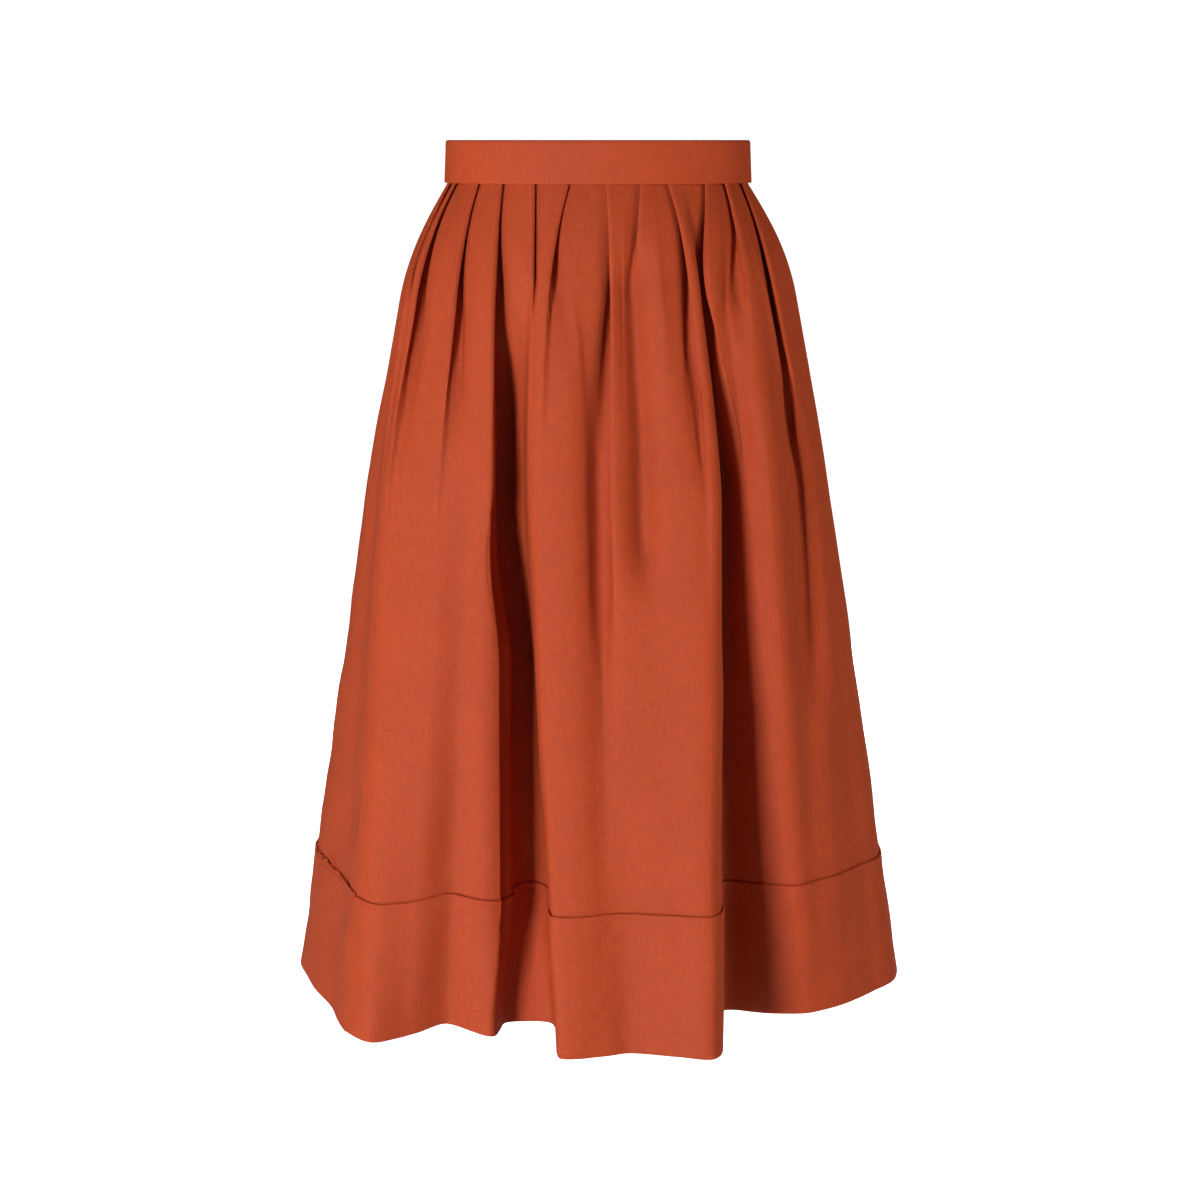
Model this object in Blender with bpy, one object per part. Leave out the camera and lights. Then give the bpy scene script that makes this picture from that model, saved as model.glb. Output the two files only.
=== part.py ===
"""Pleated midi skirt with a plain waistband, a deep sewn-on hem band and a centre-back zip.

Metres, +Z up.  The front of the skirt faces -Y.  The origin is the centre of the waist, halfway up the
waistband.  Every cloth piece is a thin closed wall that stands where a worn skirt stands, with no wearer.
"""
import math
from collections import namedtuple

import bmesh
import bpy
import numpy as np

MM = 0.001

# ---------------------------------------------------------------- driving sizes
SEAM_GAP = 0.3 * MM              # between two pieces that are sewn together
CLOTH_WALL = 1.0 * MM            # wall of a skirt panel
BAND_WALL = 1.0 * MM             # wall of the hem band

WAIST_HALF_WIDTH = 137 * MM      # line of the skirt's pleats under the waistband, left to right
WAIST_HALF_DEPTH = 97 * MM       # the same line, front to back
WAISTBAND_HEIGHT = 38 * MM
WAISTBAND_TAPER = 1.6 * MM       # how much nearer the axis the upper edge lies
WAISTBAND_OUT = 1.6 * MM         # outer face, measured out from the line of the pleats
WAISTBAND_IN = 1.0 * MM          # inner face, measured in from it
WAISTBAND_ROUND = 0.6 * MM       # rounding of its edges
WAISTBAND_STEPS = 60             # sides round the body
ZIP_OPENING = 3.2 * MM           # between the waistband's two ends

SKIRT_LENGTH = 738 * MM          # waist seam to hem, measured upright
HIP_DROP = 100 * MM              # waist seam to the hip section
KNEE_DROP = 266 * MM             # waist seam to the section where the small pleats have melted away
HEM_BAND_HEIGHT = 119 * MM
ADDED_FLARE = 0.072              # share by which the table's places widen for each metre below the waist
HEM_BAND_LAP = 8 * MM            # how far the hem band covers the panel's lower edge

PLEAT_LAP = 8 * MM               # how far a pressed pleat lies under itself at the waist
PLEAT_PITCH = 2.2 * MM           # from one layer of a pressed pleat to the next
PLEAT_STEPS = 10                 # points round the skirt for each pleat
PANEL_PUFF = 1.5 * MM            # how far the cloth swells between two pleats
PUFF_DROP = 60 * MM              # where it swells most
PUFF_END = 230 * MM              # where the swelling ends

WAIST_SEAM_Z = -WAISTBAND_HEIGHT / 2
TOP_FLARE = 1.5                  # how much steeper than its chord the cloth leaves the waist

# ---------------------------------------------------------------- fold table
# One row for each fold line that runs down the skirt, from the left side seam across the front to the
# right side and round the back.  bearing is the place on the waist in degrees from the front centre,
# positive to the right.  The other places are millimetres to the right of the axis and in front of it,
# before the added flare.
# faces says which way a pressed pleat's edge points along the table (1 ahead, -1 back, 0 no pleat).
# release is how far below the waist the pleat has opened, groove the depth of its hollow on the way.
Fold = namedtuple("Fold", "name bearing hip_x hip_y knee_x knee_y hem_x hem_y faces release groove")

FOLDS = [
    Fold("side_left", -90, -176, -8, -207, -15, -269, -40, 0, 0, 0),
    Fold("left_flank", -86, -175, 22, -203, 34, -256, 26, 0, 0, 0),
    Fold("left_hollow", -81, -170, 42, -193, 62, -226, 108, 0, 0, 0),
    Fold("left_ridge", -78, -168, 60, -188, 96, -209, 172, 1, 110, 4),
    Fold("pleat_1", -69, -161, 74, -180, 110, -190, 191, 1, 215, 13),
    Fold("pleat_2", -51, -125, 98, -136, 130, -158, 172, 1, 230, 12),
    Fold("left_trough", -45, -106, 108, -112, 135, -126, 149, 0, 0, 0),
    Fold("pleat_3", -38, -90, 116, -90, 142, -88, 178, 1, 190, 14),
    Fold("valley_left", -33, -82, 111, -88, 98, -80, 146, 0, 0, 0),
    Fold("valley_floor", -28, -69, 113, -80, 86, -62, 141, 0, 0, 0),
    Fold("valley_foot", -25, -59, 118, -65, 102, -38, 145, 0, 0, 0),
    Fold("pleat_4", -24, -56, 122, -58, 145, -30, 237, 1, 110, 4),
    Fold("pleat_5", -11, -44, 127, -48, 154, -16, 238, 1, 150, 6),
    Fold("centre_ridge", -5, -24, 127, -20, 155, -5, 234, 0, 0, 0),
    Fold("centre_trough", -1, -3, 124, 1, 142, 8, 229.5, 0, 0, 0),
    Fold("pleat_6", 3.4, 12, 126, 11, 156, 25, 222.5, -1, 230, 11),
    Fold("pleat_7", 16, 34, 125, 42, 156, 66, 233, -1, 95, 4),
    Fold("pleat_8", 27, 83, 118, 96, 154, 93, 239, -1, 200, 12),
    Fold("centre_edge", 31, 87, 115, 102, 149, 102, 214, 0, 0, 0),
    Fold("right_valley", 35, 90, 102, 109, 95, 108, 110, 0, 0, 0),
    Fold("pleat_9", 44, 96, 110, 125, 112, 147, 118, -1, 150, 14),
    Fold("pleat_10", 56, 131, 97, 148, 121, 177, 119, -1, 140, 9),
    Fold("right_trough", 66, 150, 76, 172, 84, 192, 111, 0, 0, 0),
    Fold("pleat_11", 71, 157, 70, 188, 68, 214, 92, -1, 220, 12),
    Fold("right_shoulder", 77, 166, 48, 195, 50, 242, 54, 0, 0, 0),
    Fold("right_flank", 84, 176, 25, 202, 30, 263, 26, 0, 0, 0),
    Fold("side_right", 90, 180, -8, 206, -14, 268, -30, 0, 0, 0),
    Fold("back_pleat_1", 98, 173, -40, 198, -58, 252, -92, -1, 200, 8),
    Fold("back_ridge_1", 106, 164, -60, 186, -84, 228, -140, 0, 0, 0),
    Fold("back_pleat_2", 113, 154, -76, 172, -102, 210, -150, -1, 150, 6),
    Fold("back_pleat_3", 126, 128, -97, 146, -116, 186, -140, -1, 190, 9),
    Fold("back_hollow_1", 133, 112, -105, 126, -113, 156, -126, 0, 0, 0),
    Fold("back_pleat_4", 138, 103, -112, 112, -135, 138, -190, -1, 120, 5),
    Fold("back_pleat_5", 151, 69, -122, 84, -149, 104, -212, -1, 180, 7),
    Fold("back_hollow_2", 158, 50, -123, 60, -146, 76, -190, 0, 0, 0),
    Fold("back_pleat_6", 167, 30, -127, 34, -155, 42, -204, -1, 150, 5),
    Fold("centre_back", 180, 0, -127, 0, -154, 0, -206, 0, 0, 0),
    Fold("back_pleat_7", 194, -31, -127, -38, -152, -50, -212, 1, 160, 5),
    Fold("back_hollow_3", 203, -54, -119, -60, -127, -72, -142, 0, 0, 0),
    Fold("back_pleat_8", 209, -67, -119, -76, -143, -84, -206, 1, 110, 5),
    Fold("back_pleat_9", 222, -99, -111, -113, -134, -128, -198, 1, 170, 8),
    Fold("back_hollow_4", 230, -117, -101, -134, -114, -162, -152, 0, 0, 0),
    Fold("back_pleat_10", 237, -134, -90, -155, -112, -194, -164, 1, 210, 9),
    Fold("back_pleat_11", 250, -159, -66, -183, -86, -232, -122, 1, 140, 6),
    Fold("back_pleat_12", 262, -172, -38, -199, -50, -258, -86, 1, 190, 7),
]
FOLD_NUMBER = {fold.name: number for number, fold in enumerate(FOLDS)}

# Drops below the waist seam at which a cloth wall has a row of points.
PANEL_DROPS = [0, 14, 34, 60, 92, 132, 190, 266, 430]


# ---------------------------------------------------------------- the skirt's form
def hermite(start, end, start_slope, end_slope, part):
    """Cubic from start to end; the slopes are per whole interval."""
    square, cube = part * part, part ** 3
    return ((2 * cube - 3 * square + 1) * start + (cube - 2 * square + part) * start_slope
            + (3 * square - 2 * cube) * end + (cube - square) * end_slope)


def smooth_step(value):
    """0 below 0, 1 above 1, and soft between."""
    value = min(max(value, 0.0), 1.0)
    return value * value * (3 - 2 * value)


def swell(drop, peak, end):
    """Rises from 0 at the waist to 1 at peak and is 0 again at end."""
    return smooth_step(drop / peak) * (1 - smooth_step((drop - peak) / (end - peak)))


def fold_places(drop):
    """Plan places of all fold lines at one drop, from the waist, hip, knee and hem sections."""
    bearing = np.radians([fold.bearing for fold in FOLDS])
    waist = np.stack([WAIST_HALF_WIDTH * np.sin(bearing), -WAIST_HALF_DEPTH * np.cos(bearing)], axis=1)
    hip = np.array([(fold.hip_x, -fold.hip_y) for fold in FOLDS]) * MM * (1 + ADDED_FLARE * HIP_DROP)
    knee = np.array([(fold.knee_x, -fold.knee_y) for fold in FOLDS]) * MM * (1 + ADDED_FLARE * KNEE_DROP)
    hem = np.array([(fold.hem_x, -fold.hem_y) for fold in FOLDS]) * MM * (1 + ADDED_FLARE * SKIRT_LENGTH)
    upper = (knee - hip) / (KNEE_DROP - HIP_DROP)
    lower = (hem - knee) / (SKIRT_LENGTH - KNEE_DROP)
    if drop <= HIP_DROP:
        return hermite(waist, hip, TOP_FLARE * (hip - waist), upper * HIP_DROP, drop / HIP_DROP)
    if drop <= KNEE_DROP:
        span = KNEE_DROP - HIP_DROP
        return hermite(hip, knee, upper * span, (upper + lower) / 2 * span, (drop - HIP_DROP) / span)
    return knee + lower * (drop - KNEE_DROP)


def smooth_ring(places, numbers):
    """Points at fractional row numbers of the closed curve through the fold places."""
    count = len(places)
    first = np.floor(numbers).astype(int)
    part = (numbers - first)[:, None]
    before, start, end, after = (places[(first + shift) % count] for shift in (-1, 0, 1, 2))

    def knot(a, b):
        return np.sqrt(np.linalg.norm(b - a, axis=1))[:, None]

    k0, k1, k2 = knot(before, start), knot(start, end), knot(end, after)
    start_slope = end - start + k1 * ((start - before) / k0 - (end - before) / (k0 + k1))
    end_slope = end - start + k1 * ((after - end) / k2 - (after - start) / (k1 + k2))
    return hermite(start, end, start_slope, end_slope, part)


def outward(points):
    """Unit plan normals of a closed line of points, pointing away from the body."""
    along = np.roll(points, -1, axis=0) - np.roll(points, 1, axis=0)
    along /= np.linalg.norm(along, axis=1)[:, None]
    return np.stack([along[:, 1], -along[:, 0]], axis=1)


def cloth_rows():
    """Row number in FOLDS for each whole step of cloth, with PLEAT_STEPS steps from pleat to pleat."""
    hem = fold_places(SKIRT_LENGTH)
    pleats = [number for number, fold in enumerate(FOLDS) if fold.faces]
    rows = []
    for place, pleat in enumerate(pleats):
        following = pleats[(place + 1) % len(pleats)]
        if following <= pleat:
            following += len(FOLDS)
        lines = list(range(pleat, following))
        widths = [np.linalg.norm(hem[(line + 1) % len(FOLDS)] - hem[line % len(FOLDS)]) for line in lines]
        spare = PLEAT_STEPS - len(lines)
        ideal = np.array(widths) / sum(widths) * spare
        steps = np.floor(ideal).astype(int)
        for line in np.argsort(steps - ideal)[:spare - steps.sum()]:
            steps[line] += 1
        for line, extra in zip(lines, steps):
            rows += [line + index / (extra + 1) for index in range(extra + 1)]
    return np.array(rows) % len(FOLDS)


PLEATS = [fold for fold in FOLDS if fold.faces]
CLOTH_ROWS = cloth_rows()
CLOTH_COUNT = len(CLOTH_ROWS)
DENSE_STEPS = 16                 # points between two fold lines when a ring is measured


def pleat_shape(ahead_width, behind_width, rise_behind, rise_ahead):
    """Steps, places along the waist and depths of a pressed pleat that faces ahead.

    The places are measured from the pleat's edge; the depths count layers, and are negative inwards.
    """
    lap, pitch = PLEAT_LAP, PLEAT_PITCH
    slope = -rise_behind / behind_width      # the covering layer sinks towards the pleat behind it
    tip = 1.1 * MM
    deep = -lap * slope
    half = PLEAT_STEPS / 2
    shape = [(-half, -behind_width, rise_behind), (-1, -tip, 0.0), (0, 0.4 * tip, -0.5 * pitch),
             (1, -tip, -pitch), (2, -lap, deep - pitch), (3, -lap, deep - 2 * pitch),
             (4, tip, -2 * pitch), (half, ahead_width, rise_ahead)]
    return np.array(shape)


def pressed_places(places):
    """Where every cloth step lies while all pleats are pressed flat: its place on the ring, and its depth."""
    row_count = len(FOLDS)
    numbers = np.arange(row_count * DENSE_STEPS + 1) / DENSE_STEPS
    dense = smooth_ring(places, numbers)
    length = np.concatenate([[0], np.cumsum(np.linalg.norm(np.diff(dense, axis=0), axis=1))])
    round_length = length[-1]
    normals = outward(dense[:-1])
    normals = np.vstack([normals, normals[:1]])
    edges = [length[FOLD_NUMBER[fold.name] * DENSE_STEPS] for fold in PLEATS]

    on_ring = np.zeros((CLOTH_COUNT, 2))
    layer = np.zeros((CLOTH_COUNT, 2))
    for place, fold in enumerate(PLEATS):
        next_place = (place + 1) % len(PLEATS)
        ahead = ((edges[next_place] - edges[place]) % round_length) / 2
        behind = ((edges[place] - edges[place - 1]) % round_length) / 2
        level_here = {1: -2.0, -1: 0.0}[fold.faces]
        level_next = {1: 0.0, -1: -2.0}[PLEATS[next_place].faces]
        level_last = {1: -2.0, -1: 0.0}[PLEATS[place - 1].faces]
        level_start = {1: 0.0, -1: -2.0}[fold.faces]
        rise_ahead = (level_here + level_next) / 2 * PLEAT_PITCH
        rise_behind = (level_last + level_start) / 2 * PLEAT_PITCH
        if fold.faces > 0:
            shape = pleat_shape(ahead, behind, rise_behind, rise_ahead)
        else:
            shape = pleat_shape(behind, ahead, rise_ahead, rise_behind) * [-1, -1, 1]
            shape = shape[::-1]
        half = PLEAT_STEPS // 2
        for step in range(-half, half):
            along = edges[place] + np.interp(step, shape[:, 0], shape[:, 1])
            depth = np.interp(step, shape[:, 0], shape[:, 2])
            along %= round_length
            point = [np.interp(along, length, dense[:, axis]) for axis in (0, 1)]
            normal = np.array([np.interp(along, length, normals[:, axis]) for axis in (0, 1)])
            normal /= np.linalg.norm(normal)
            index = (place * PLEAT_STEPS + step) % CLOTH_COUNT
            on_ring[index] = point
            layer[index] = normal * depth
    return on_ring, layer


def skirt_ring(drop):
    """The cloth's middle line, one point for each cloth step, at one drop below the waist seam."""
    places = fold_places(drop)
    open_points = smooth_ring(places, CLOTH_ROWS)
    on_ring, layer = pressed_places(places)
    normals = outward(open_points)
    points = np.zeros_like(open_points)
    for step in range(CLOTH_COUNT):
        place = ((step + PLEAT_STEPS // 2) // PLEAT_STEPS) % len(PLEATS)
        fold = PLEATS[place]
        offset = (step + PLEAT_STEPS // 2) % PLEAT_STEPS - PLEAT_STEPS // 2
        closed = 1 - smooth_step(drop / (fold.release * MM))
        hollow = math.exp(-((offset * fold.faces - 2.5) / 1.5) ** 2)
        hollow *= fold.groove * MM * swell(drop, 0.45 * fold.release * MM, 1.15 * fold.release * MM)
        puff = math.sin(math.pi * abs(offset) / PLEAT_STEPS) ** 2
        puff *= PANEL_PUFF * swell(drop, PUFF_DROP, PUFF_END)
        parted = 1 - (1 - closed) ** 2           # the layers slide apart before they sink together
        points[step] = (closed * on_ring[step] + (1 - closed) * open_points[step]
                        + parted * layer[step] + normals[step] * (puff - hollow))
    return points


# ---------------------------------------------------------------- meshes
def material(name, colour, roughness, metallic=0.0):
    made = bpy.data.materials.new(name)
    made.use_nodes = True
    shader = made.node_tree.nodes["Principled BSDF"]
    shader.inputs["Base Color"].default_value = (*colour, 1.0)
    shader.inputs["Roughness"].default_value = roughness
    shader.inputs["Metallic"].default_value = metallic
    return made


def add_object(name, mesh, finish):
    made = bpy.data.objects.new(name, mesh)
    bpy.context.scene.collection.objects.link(made)
    mesh.materials.append(finish)
    return made


def wall_mesh(name, outer, inner):
    """Closed wall between two grids of points, [row, column, xyz], rows from top to bottom."""
    rows, columns = outer.shape[:2]
    sheet = bmesh.new()
    out = [[sheet.verts.new(point) for point in row] for row in outer]
    back = [[sheet.verts.new(point) for point in row] for row in inner]
    for row in range(rows - 1):
        for column in range(columns - 1):
            sheet.faces.new((out[row][column], out[row + 1][column],
                             out[row + 1][column + 1], out[row][column + 1]))
            sheet.faces.new((back[row][column], back[row][column + 1],
                             back[row + 1][column + 1], back[row + 1][column]))
        for column, turn in ((0, 1), (columns - 1, -1)):
            side = (out[row][column], back[row][column], back[row + 1][column], out[row + 1][column])
            sheet.faces.new(side[::turn])
    for column in range(columns - 1):
        for row, turn in ((0, 1), (rows - 1, -1)):
            edge = (out[row][column], out[row][column + 1], back[row][column + 1], back[row][column])
            sheet.faces.new(edge[::turn])
    bmesh.ops.triangulate(sheet, faces=sheet.faces[:])
    mesh = bpy.data.meshes.new(name)
    sheet.to_mesh(mesh)
    sheet.free()
    mesh.shade_smooth()
    mesh.set_sharp_from_angle(angle=math.radians(50))
    return mesh


def offset_line(points, distance):
    """A closed line moved out by distance, with its corners kept square to both sides."""
    ahead = np.roll(points, -1, axis=0) - points
    ahead /= np.linalg.norm(ahead, axis=1)[:, None]
    behind = np.roll(ahead, 1, axis=0)
    normal_ahead = np.stack([ahead[:, 1], -ahead[:, 0]], axis=1)
    normal_behind = np.stack([behind[:, 1], -behind[:, 0]], axis=1)
    middle = normal_ahead + normal_behind
    middle /= np.linalg.norm(middle, axis=1)[:, None]
    stretch = np.clip(np.sum(middle * normal_ahead, axis=1), 0.6, 1.0)[:, None]
    return points + middle * distance / stretch


def cloth_piece(name, first, last, drops, out_face, in_face, finish):
    """A wall of cloth from one fold line to another, between two distances from the skirt's middle line."""
    first_step = int(np.argmin(abs(CLOTH_ROWS - FOLD_NUMBER[first])))
    last_step = int(np.argmin(abs(CLOTH_ROWS - FOLD_NUMBER[last])))
    if last_step <= first_step:
        last_step += CLOTH_COUNT
    steps = np.arange(first_step, last_step + 1) % CLOTH_COUNT
    grids = [[], []]
    for drop in drops:
        ring = skirt_ring(drop)
        height = WAIST_SEAM_Z - SEAM_GAP - drop
        for grid, distance in zip(grids, (out_face, in_face)):
            line = offset_line(ring, distance)[steps]
            for end, neighbour in ((0, 1), (-1, -2)):
                towards = line[neighbour] - line[end]
                line[end] += towards / np.linalg.norm(towards) * SEAM_GAP / 2
            grid.append(np.column_stack([line, np.full(len(line), height)]))
    return add_object(name, wall_mesh(name, np.array(grids[0]), np.array(grids[1])), finish)


def build_skirt(finish):
    drops = [drop * MM for drop in PANEL_DROPS]
    drops.append(SKIRT_LENGTH - HEM_BAND_HEIGHT + HEM_BAND_LAP)
    for name, first, last in (("skirt_front", "side_left", "side_right"),
                              ("skirt_back_right", "side_right", "centre_back"),
                              ("skirt_back_left", "centre_back", "side_left")):
        cloth_piece(name, first, last, drops, CLOTH_WALL / 2, -CLOTH_WALL / 2, finish)


def build_hem_band(finish):
    inner = CLOTH_WALL / 2 + SEAM_GAP
    drops = [SKIRT_LENGTH - HEM_BAND_HEIGHT, SKIRT_LENGTH]
    for name, first, last in (("hem_band_front", "side_left", "side_right"),
                              ("hem_band_back", "side_right", "side_left")):
        cloth_piece(name, first, last, drops, inner + BAND_WALL, inner, finish)


# ---------------------------------------------------------------- waistband
def waist_point(angle, distance, height):
    """A point of the waistband at an angle from the front centre and a distance out from the pleats."""
    lean = -WAISTBAND_TAPER * (height - WAIST_SEAM_Z) / WAISTBAND_HEIGHT
    across = WAIST_HALF_WIDTH + distance + lean
    deep = WAIST_HALF_DEPTH + distance + lean
    return (across * math.sin(angle), -deep * math.cos(angle), height)


def build_waistband(finish):
    """A closed band, rounded along its edges, whose two ends meet at the centre back."""
    low, high, corner = WAIST_SEAM_Z, -WAIST_SEAM_Z, WAISTBAND_ROUND
    profile = [(WAISTBAND_OUT, high - corner), (WAISTBAND_OUT, low + corner), (WAISTBAND_OUT - corner, low),
               (-WAISTBAND_IN + corner, low), (-WAISTBAND_IN, low + corner), (-WAISTBAND_IN, high - corner),
               (-WAISTBAND_IN + corner, high), (WAISTBAND_OUT - corner, high)]
    half_opening = math.asin(ZIP_OPENING / 2 / WAIST_HALF_WIDTH)
    angles = np.linspace(-math.pi + half_opening, math.pi - half_opening, WAISTBAND_STEPS + 1)
    shape = bmesh.new()
    loops = [[shape.verts.new(waist_point(angle, *place)) for place in profile] for angle in angles]
    for loop, following in zip(loops, loops[1:]):
        for index in range(len(profile)):
            after = (index + 1) % len(profile)
            shape.faces.new((loop[index], loop[after], following[after], following[index]))
    shape.faces.new(loops[0][::-1])
    shape.faces.new(loops[-1])
    bmesh.ops.triangulate(shape, faces=shape.faces[:])
    mesh = bpy.data.meshes.new("waistband")
    shape.to_mesh(mesh)
    shape.free()
    mesh.shade_smooth()
    mesh.set_sharp_from_angle(angle=math.radians(40))
    return add_object("waistband", mesh, finish)


# ---------------------------------------------------------------- centre-back zip
ZIP_WIDTH = 7 * MM               # the two rows of coil with the tape's edges
ZIP_THICK = 1.4 * MM
ZIP_TOP = 4 * MM                 # upper end of the coil, above the origin
ZIP_DROP = 170 * MM              # lower end, below the waist seam
ZIP_STEPS = 12
SLIDER_BODY = (5.6 * MM, 2.0 * MM, 10.5 * MM)
SLIDER_HEIGHT = 10.6 * MM        # middle of the slider's body above the origin
EYE_HEIGHT = 11.5 * MM           # the pull tab's axis above the origin
EYE_OUT = 1.9 * MM               # the axis, outside the waistband's face
EYE_SIZE = 2.0 * MM              # square hole in the slider's bail
BAIL_WALL = 0.9 * MM
BAIL_POST = 1.3 * MM
BAIL_WIDTH = 1.6 * MM
PULL_LENGTH = 22 * MM
PULL_THICK = 1.0 * MM
PULL_BAR = 1.1 * MM              # the pull tab's bar that passes through the bail
PULL_NECK = 4.6 * MM
PULL_FOOT = 6.4 * MM
PULL_WINDOW = (2.8 * MM, 4.3 * MM)


def back_face(height, distance):
    """Y of the waistband's face at the centre back."""
    return waist_point(math.pi, distance, height)[1]


def box(name, centre, size, finish):
    shape = bmesh.new()
    bmesh.ops.create_cube(shape, size=1.0)
    bmesh.ops.scale(shape, vec=size, verts=shape.verts)
    bmesh.ops.translate(shape, vec=centre, verts=shape.verts)
    mesh = bpy.data.meshes.new(name)
    shape.to_mesh(mesh)
    shape.free()
    return add_object(name, mesh, finish)


def combine(target, tool, operation):
    """A Boolean whose tool stays as a hidden helper."""
    step = target.modifiers.new(tool.name, "BOOLEAN")
    step.operation = operation
    step.object = tool
    tool.hide_render = True
    tool.display_type = "WIRE"


def build_coil(finish):
    """The closed zip behind the back seam, from the slider down to its bottom stop."""
    column = int(np.argmin(abs(CLOTH_ROWS - FOLD_NUMBER["centre_back"])))
    clear = WAISTBAND_IN + SEAM_GAP
    path = [(ZIP_TOP, back_face(ZIP_TOP, -clear)), (WAIST_SEAM_Z, back_face(WAIST_SEAM_Z, -clear))]
    for drop in np.linspace(0, ZIP_DROP, ZIP_STEPS + 1)[1:]:
        path.append((WAIST_SEAM_Z - drop, skirt_ring(drop)[column][1] - clear))
    half = ZIP_WIDTH / 2
    outer = np.array([[(side * half, y, z) for side in (1, -1)] for z, y in path])
    inner = outer - [0, ZIP_THICK, 0]
    return add_object("zip_coil", wall_mesh("zip_coil", outer, inner), finish)


def build_slider(finish):
    """Slider body behind the waistband's ends, with a bail that reaches out between them."""
    inner_face = back_face(SLIDER_HEIGHT + SLIDER_BODY[2] / 2, -WAISTBAND_IN - SEAM_GAP)
    body_y = inner_face - SLIDER_BODY[1] / 2
    slider = box("zip_slider", (0, body_y, SLIDER_HEIGHT), SLIDER_BODY, finish)
    axis_y = back_face(EYE_HEIGHT, WAISTBAND_OUT) + EYE_OUT
    bail_end = axis_y + EYE_SIZE / 2 + BAIL_WALL
    bail_length = bail_end - body_y
    bail = box("zip_bail", (0, bail_end - bail_length / 2, EYE_HEIGHT),
               (BAIL_WIDTH, bail_length, EYE_SIZE + 2 * BAIL_POST), finish)
    eye = box("zip_eye", (0, axis_y, EYE_HEIGHT), (4 * BAIL_WIDTH, EYE_SIZE, EYE_SIZE), finish)
    combine(slider, bail, "UNION")
    combine(slider, eye, "DIFFERENCE")


def build_pull(finish):
    """Pull tab with a window at its top; its bar turns in the slider's eye."""
    axis_y = back_face(EYE_HEIGHT, WAISTBAND_OUT) + EYE_OUT
    half_bar = PULL_BAR / 2
    side = [(PULL_NECK / 2, half_bar), (PULL_NECK / 2, -6 * MM), (PULL_FOOT / 2, -PULL_LENGTH + 4 * MM),
            (0.36 * PULL_FOOT, -PULL_LENGTH + 1 * MM), (0.15 * PULL_FOOT, -PULL_LENGTH)]
    outline = side + [(-x, z) for x, z in reversed(side)]
    shape = bmesh.new()
    front = [shape.verts.new((x, PULL_THICK / 2, z)) for x, z in outline]
    back = [shape.verts.new((x, -PULL_THICK / 2, z)) for x, z in outline]
    shape.faces.new(front)
    shape.faces.new(back[::-1])
    for index in range(len(outline)):
        after = (index + 1) % len(outline)
        shape.faces.new((front[after], front[index], back[index], back[after]))
    bmesh.ops.recalc_face_normals(shape, faces=shape.faces[:])
    mesh = bpy.data.meshes.new("zip_pull")
    shape.to_mesh(mesh)
    shape.free()
    pull = add_object("zip_pull", mesh, finish)
    pull.location = (0, axis_y, EYE_HEIGHT)
    width, height = PULL_WINDOW
    window = box("pull_window", (0, 0, -half_bar - height / 2), (width, 4 * PULL_THICK, height), finish)
    window.parent = pull
    combine(pull, window, "DIFFERENCE")


def main():
    for old in list(bpy.data.objects):
        bpy.data.objects.remove(old, do_unlink=True)
    cloth = material("rust_cloth", (0.50, 0.085, 0.036), 0.85)
    coil = material("rust_zip_coil", (0.36, 0.055, 0.025), 0.5)
    metal = material("rust_enamelled_metal", (0.42, 0.065, 0.03), 0.35, 0.4)
    build_waistband(cloth)
    build_skirt(cloth)
    build_hem_band(cloth)
    build_coil(coil)
    build_slider(metal)
    build_pull(metal)


main()
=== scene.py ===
"""Looks of a pleated midi skirt: cloth, waistband, hem band, stitches and a centre-back zip.

Metres, +Z up, the front faces -Y.  The cloth follows the same fold table as the solids of the frame, and
creases and soft folds move it off that table.
"""
import math
from collections import namedtuple

import bpy
import numpy as np
from bpy.props import FloatProperty, FloatVectorProperty, IntProperty, PointerProperty
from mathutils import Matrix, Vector


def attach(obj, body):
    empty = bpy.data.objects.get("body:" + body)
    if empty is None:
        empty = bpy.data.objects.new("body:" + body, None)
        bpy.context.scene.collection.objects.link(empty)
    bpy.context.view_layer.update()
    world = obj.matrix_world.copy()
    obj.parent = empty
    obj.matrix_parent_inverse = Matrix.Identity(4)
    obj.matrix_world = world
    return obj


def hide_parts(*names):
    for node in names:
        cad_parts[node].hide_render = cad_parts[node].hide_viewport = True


bl_info = {
    "name": "Pleated midi skirt",
    "version": (1, 0, 0),
    "blender": (4, 5, 0),
    "location": "View3D > Sidebar > Skirt",
    "description": "Dresses the skirt's solids with cloth, stitches and a zip",
    "category": "Object",
}

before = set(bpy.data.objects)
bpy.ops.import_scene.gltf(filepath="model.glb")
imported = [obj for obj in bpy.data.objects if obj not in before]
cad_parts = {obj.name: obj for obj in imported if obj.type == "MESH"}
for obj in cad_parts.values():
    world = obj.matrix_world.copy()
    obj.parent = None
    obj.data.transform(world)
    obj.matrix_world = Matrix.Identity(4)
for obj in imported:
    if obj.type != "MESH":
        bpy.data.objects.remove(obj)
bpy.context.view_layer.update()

MM = 0.001

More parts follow.
